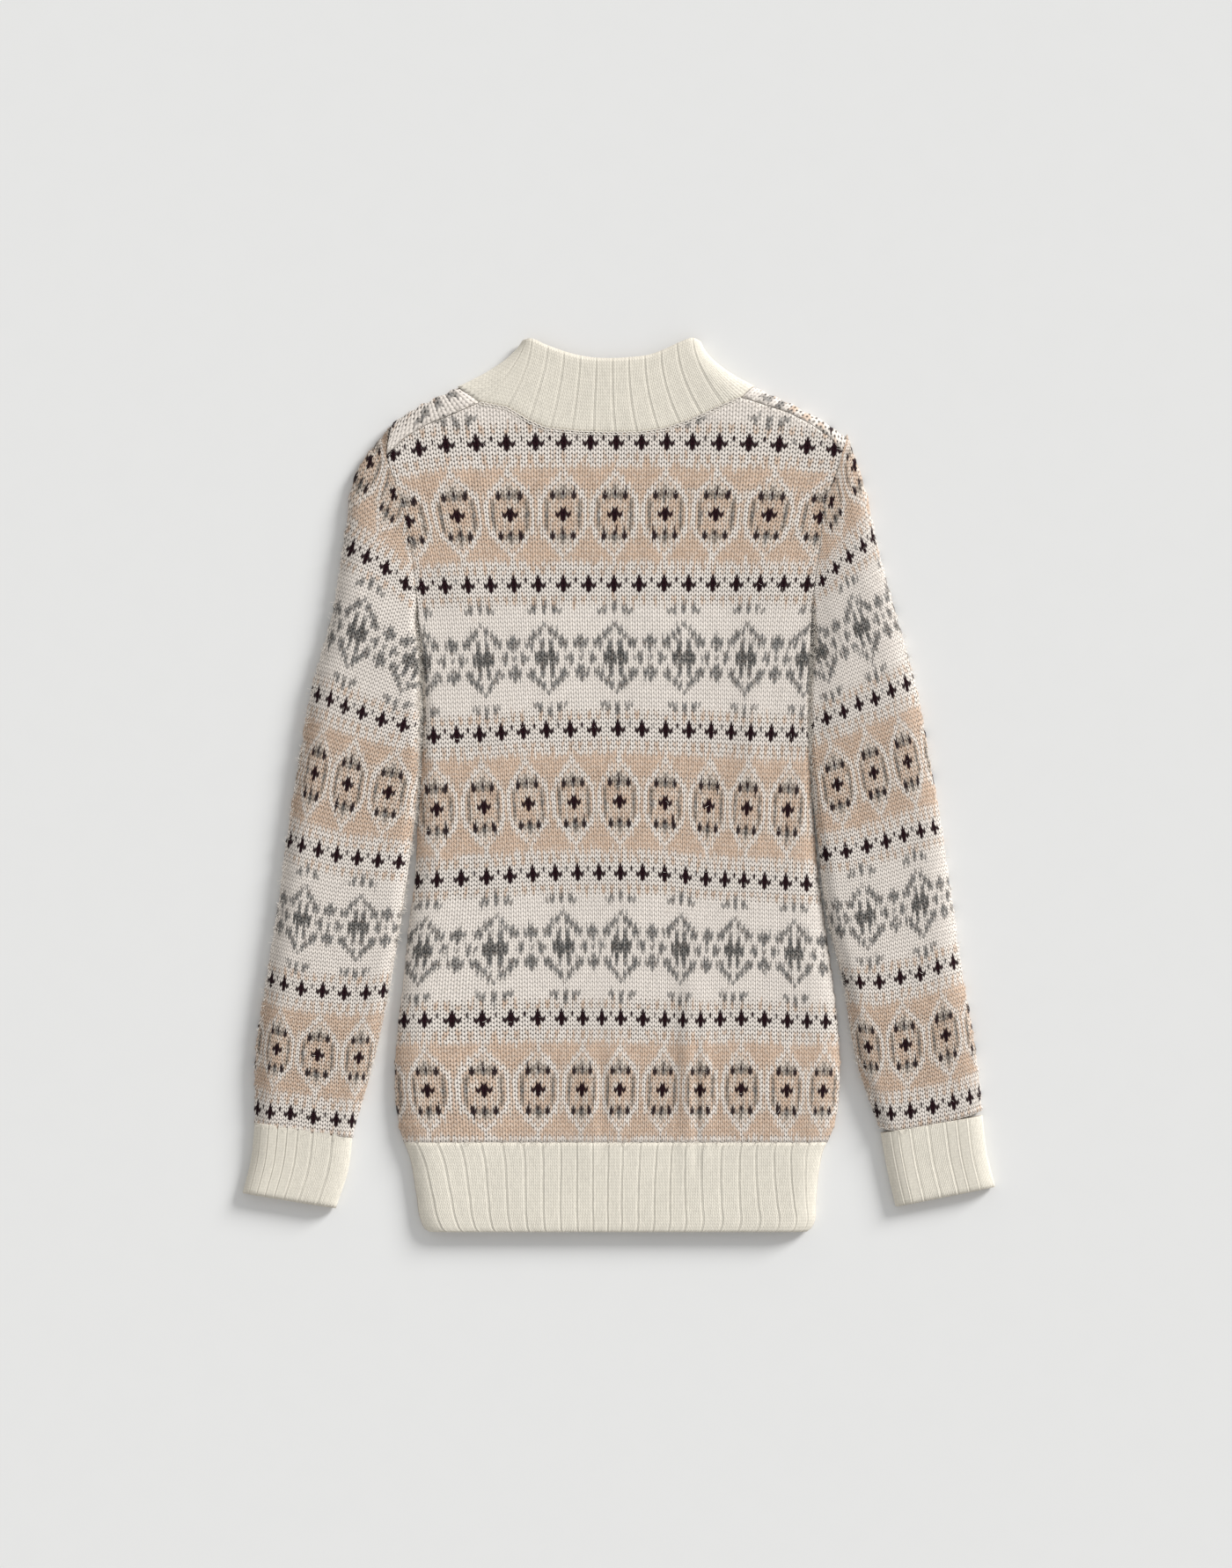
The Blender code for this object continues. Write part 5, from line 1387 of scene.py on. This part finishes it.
linked = wire(linkTree, "GeometryNodeInstanceOnPoints",
              {"Points": given["Geometry"], "Instance": loop.outputs[0],
               "Rotation": wire(linkTree, "FunctionNodeEulerToRotation", {0: along}).outputs[0]})
finishTree(linkTree, linked.outputs[0], fibreLooks)


def seamLine(name, line, height):
    # one loop every pitch along a line in plan, lying in the seam
    reach = np.concatenate([[0], np.cumsum(np.hypot(*np.diff(line, axis=0).T))])
    at = np.arange(link["pitch"] / 2, reach[-1], link["pitch"])
    here, ahead, before = [(np.interp(at + step, reach, line[:, 0]), np.interp(at + step, reach, line[:, 1]))
                           for step in (0, 1, -1)]
    mesh = bpy.data.meshes.new(name)
    mesh.from_pydata(place(stack(*here, height)).tolist(), [], [])
    turn = stack(0 * at, 0.0, np.arctan2(ahead[1] - before[1], ahead[0] - before[0]))
    layer(mesh, "turn", "FLOAT_VECTOR", "POINT", "vector", turn)
    return grown(name, mesh, linkTree, {"Loop width": link["pitch"] * link["width"], "Yarn": link["yarn"]})


collarChain = seamLine("collarChain", neckLine - np.array([0, 0.5]), bodyHeight + 0.1)
print("collar linked", len(collarChain.data.polygons))

pieces = {
    backKnit: ("back", "jacquard_knit"), hemBackRib: ("hem_back", "rib_knit"),
    sleeveLeftKnit: ("sleeve_left", "jacquard_knit"), sleeveRightKnit: ("sleeve_right", "jacquard_knit"),
    cuffLeftRib: ("cuff_left", "rib_knit"), cuffRightRib: ("cuff_right", "rib_knit"),
    collarRib: ("collar", "rib_knit"), frontLeftKnit: ("front_left", "jacquard_knit"),
    frontRightKnit: ("front_right", "jacquard_knit"), hemFrontLeftRib: ("hem_front_left", "rib_knit"),
    hemFrontRightRib: ("hem_front_right", "rib_knit"), bandLeftRib: ("band_left", "rib_knit"),
    bandRightRib: ("band_right", "rib_knit"),
}
pieces.update({made: (f"button_{k + 1}", "button") for k, made in enumerate(buttons)})
for made, (part, finish) in pieces.items():
    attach(made, "root")
    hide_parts(part)
for extra in (backFuzz, sleeveLeftFuzz, sleeveRightFuzz, collarChain):
    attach(extra, "root")

floorMesh = bpy.data.meshes.new("paper")
floorMesh.from_pydata([(-6, -6, 0), (6, -6, 0), (6, 6, 0), (-6, 6, 0)], [], [(0, 1, 2, 3)])
paper = show("paper", floorMesh)
floorMesh.materials.append(plainMaterial("pale paper", (0.80, 0.80, 0.79), 0.9, 0.01, 40.0))

# a low sun from the upper right, wide so that the shadows' edges are soft, and a pale sky
light = {"sky": 0.55, "strength": 3.80, "width": 0.35, "from": (0.80, 0.68, 0.40)}
world = bpy.data.worlds.new("studio")
world.use_nodes = True
sky = world.node_tree.nodes["Background"].inputs
sky["Color"].default_value = (1.0, 1.0, 1.0, 1.0)
sky["Strength"].default_value = light["sky"]
scene.world = world
sun = show("window", bpy.data.lights.new("window", "SUN"))
sun.data.energy = light["strength"]
sun.data.angle = light["width"]
sun.rotation_euler = Vector(light["from"]).to_track_quat("Z", "Y").to_euler()

# straight down; span is the longer side of the view in metres
view = {"lens": 110, "sensor": 36, "span": 1.212, "x": -0.0023, "y": 0.0008}
camera = show("camera", bpy.data.cameras.new("camera"))
camera.data.lens = view["lens"]
camera.data.sensor_width = view["sensor"]
camera.location = (view["x"], view["y"], view["span"] * view["lens"] / view["sensor"])
camera.data.clip_end = 50
scene.camera = camera
scene.view_settings.view_transform = "Standard"
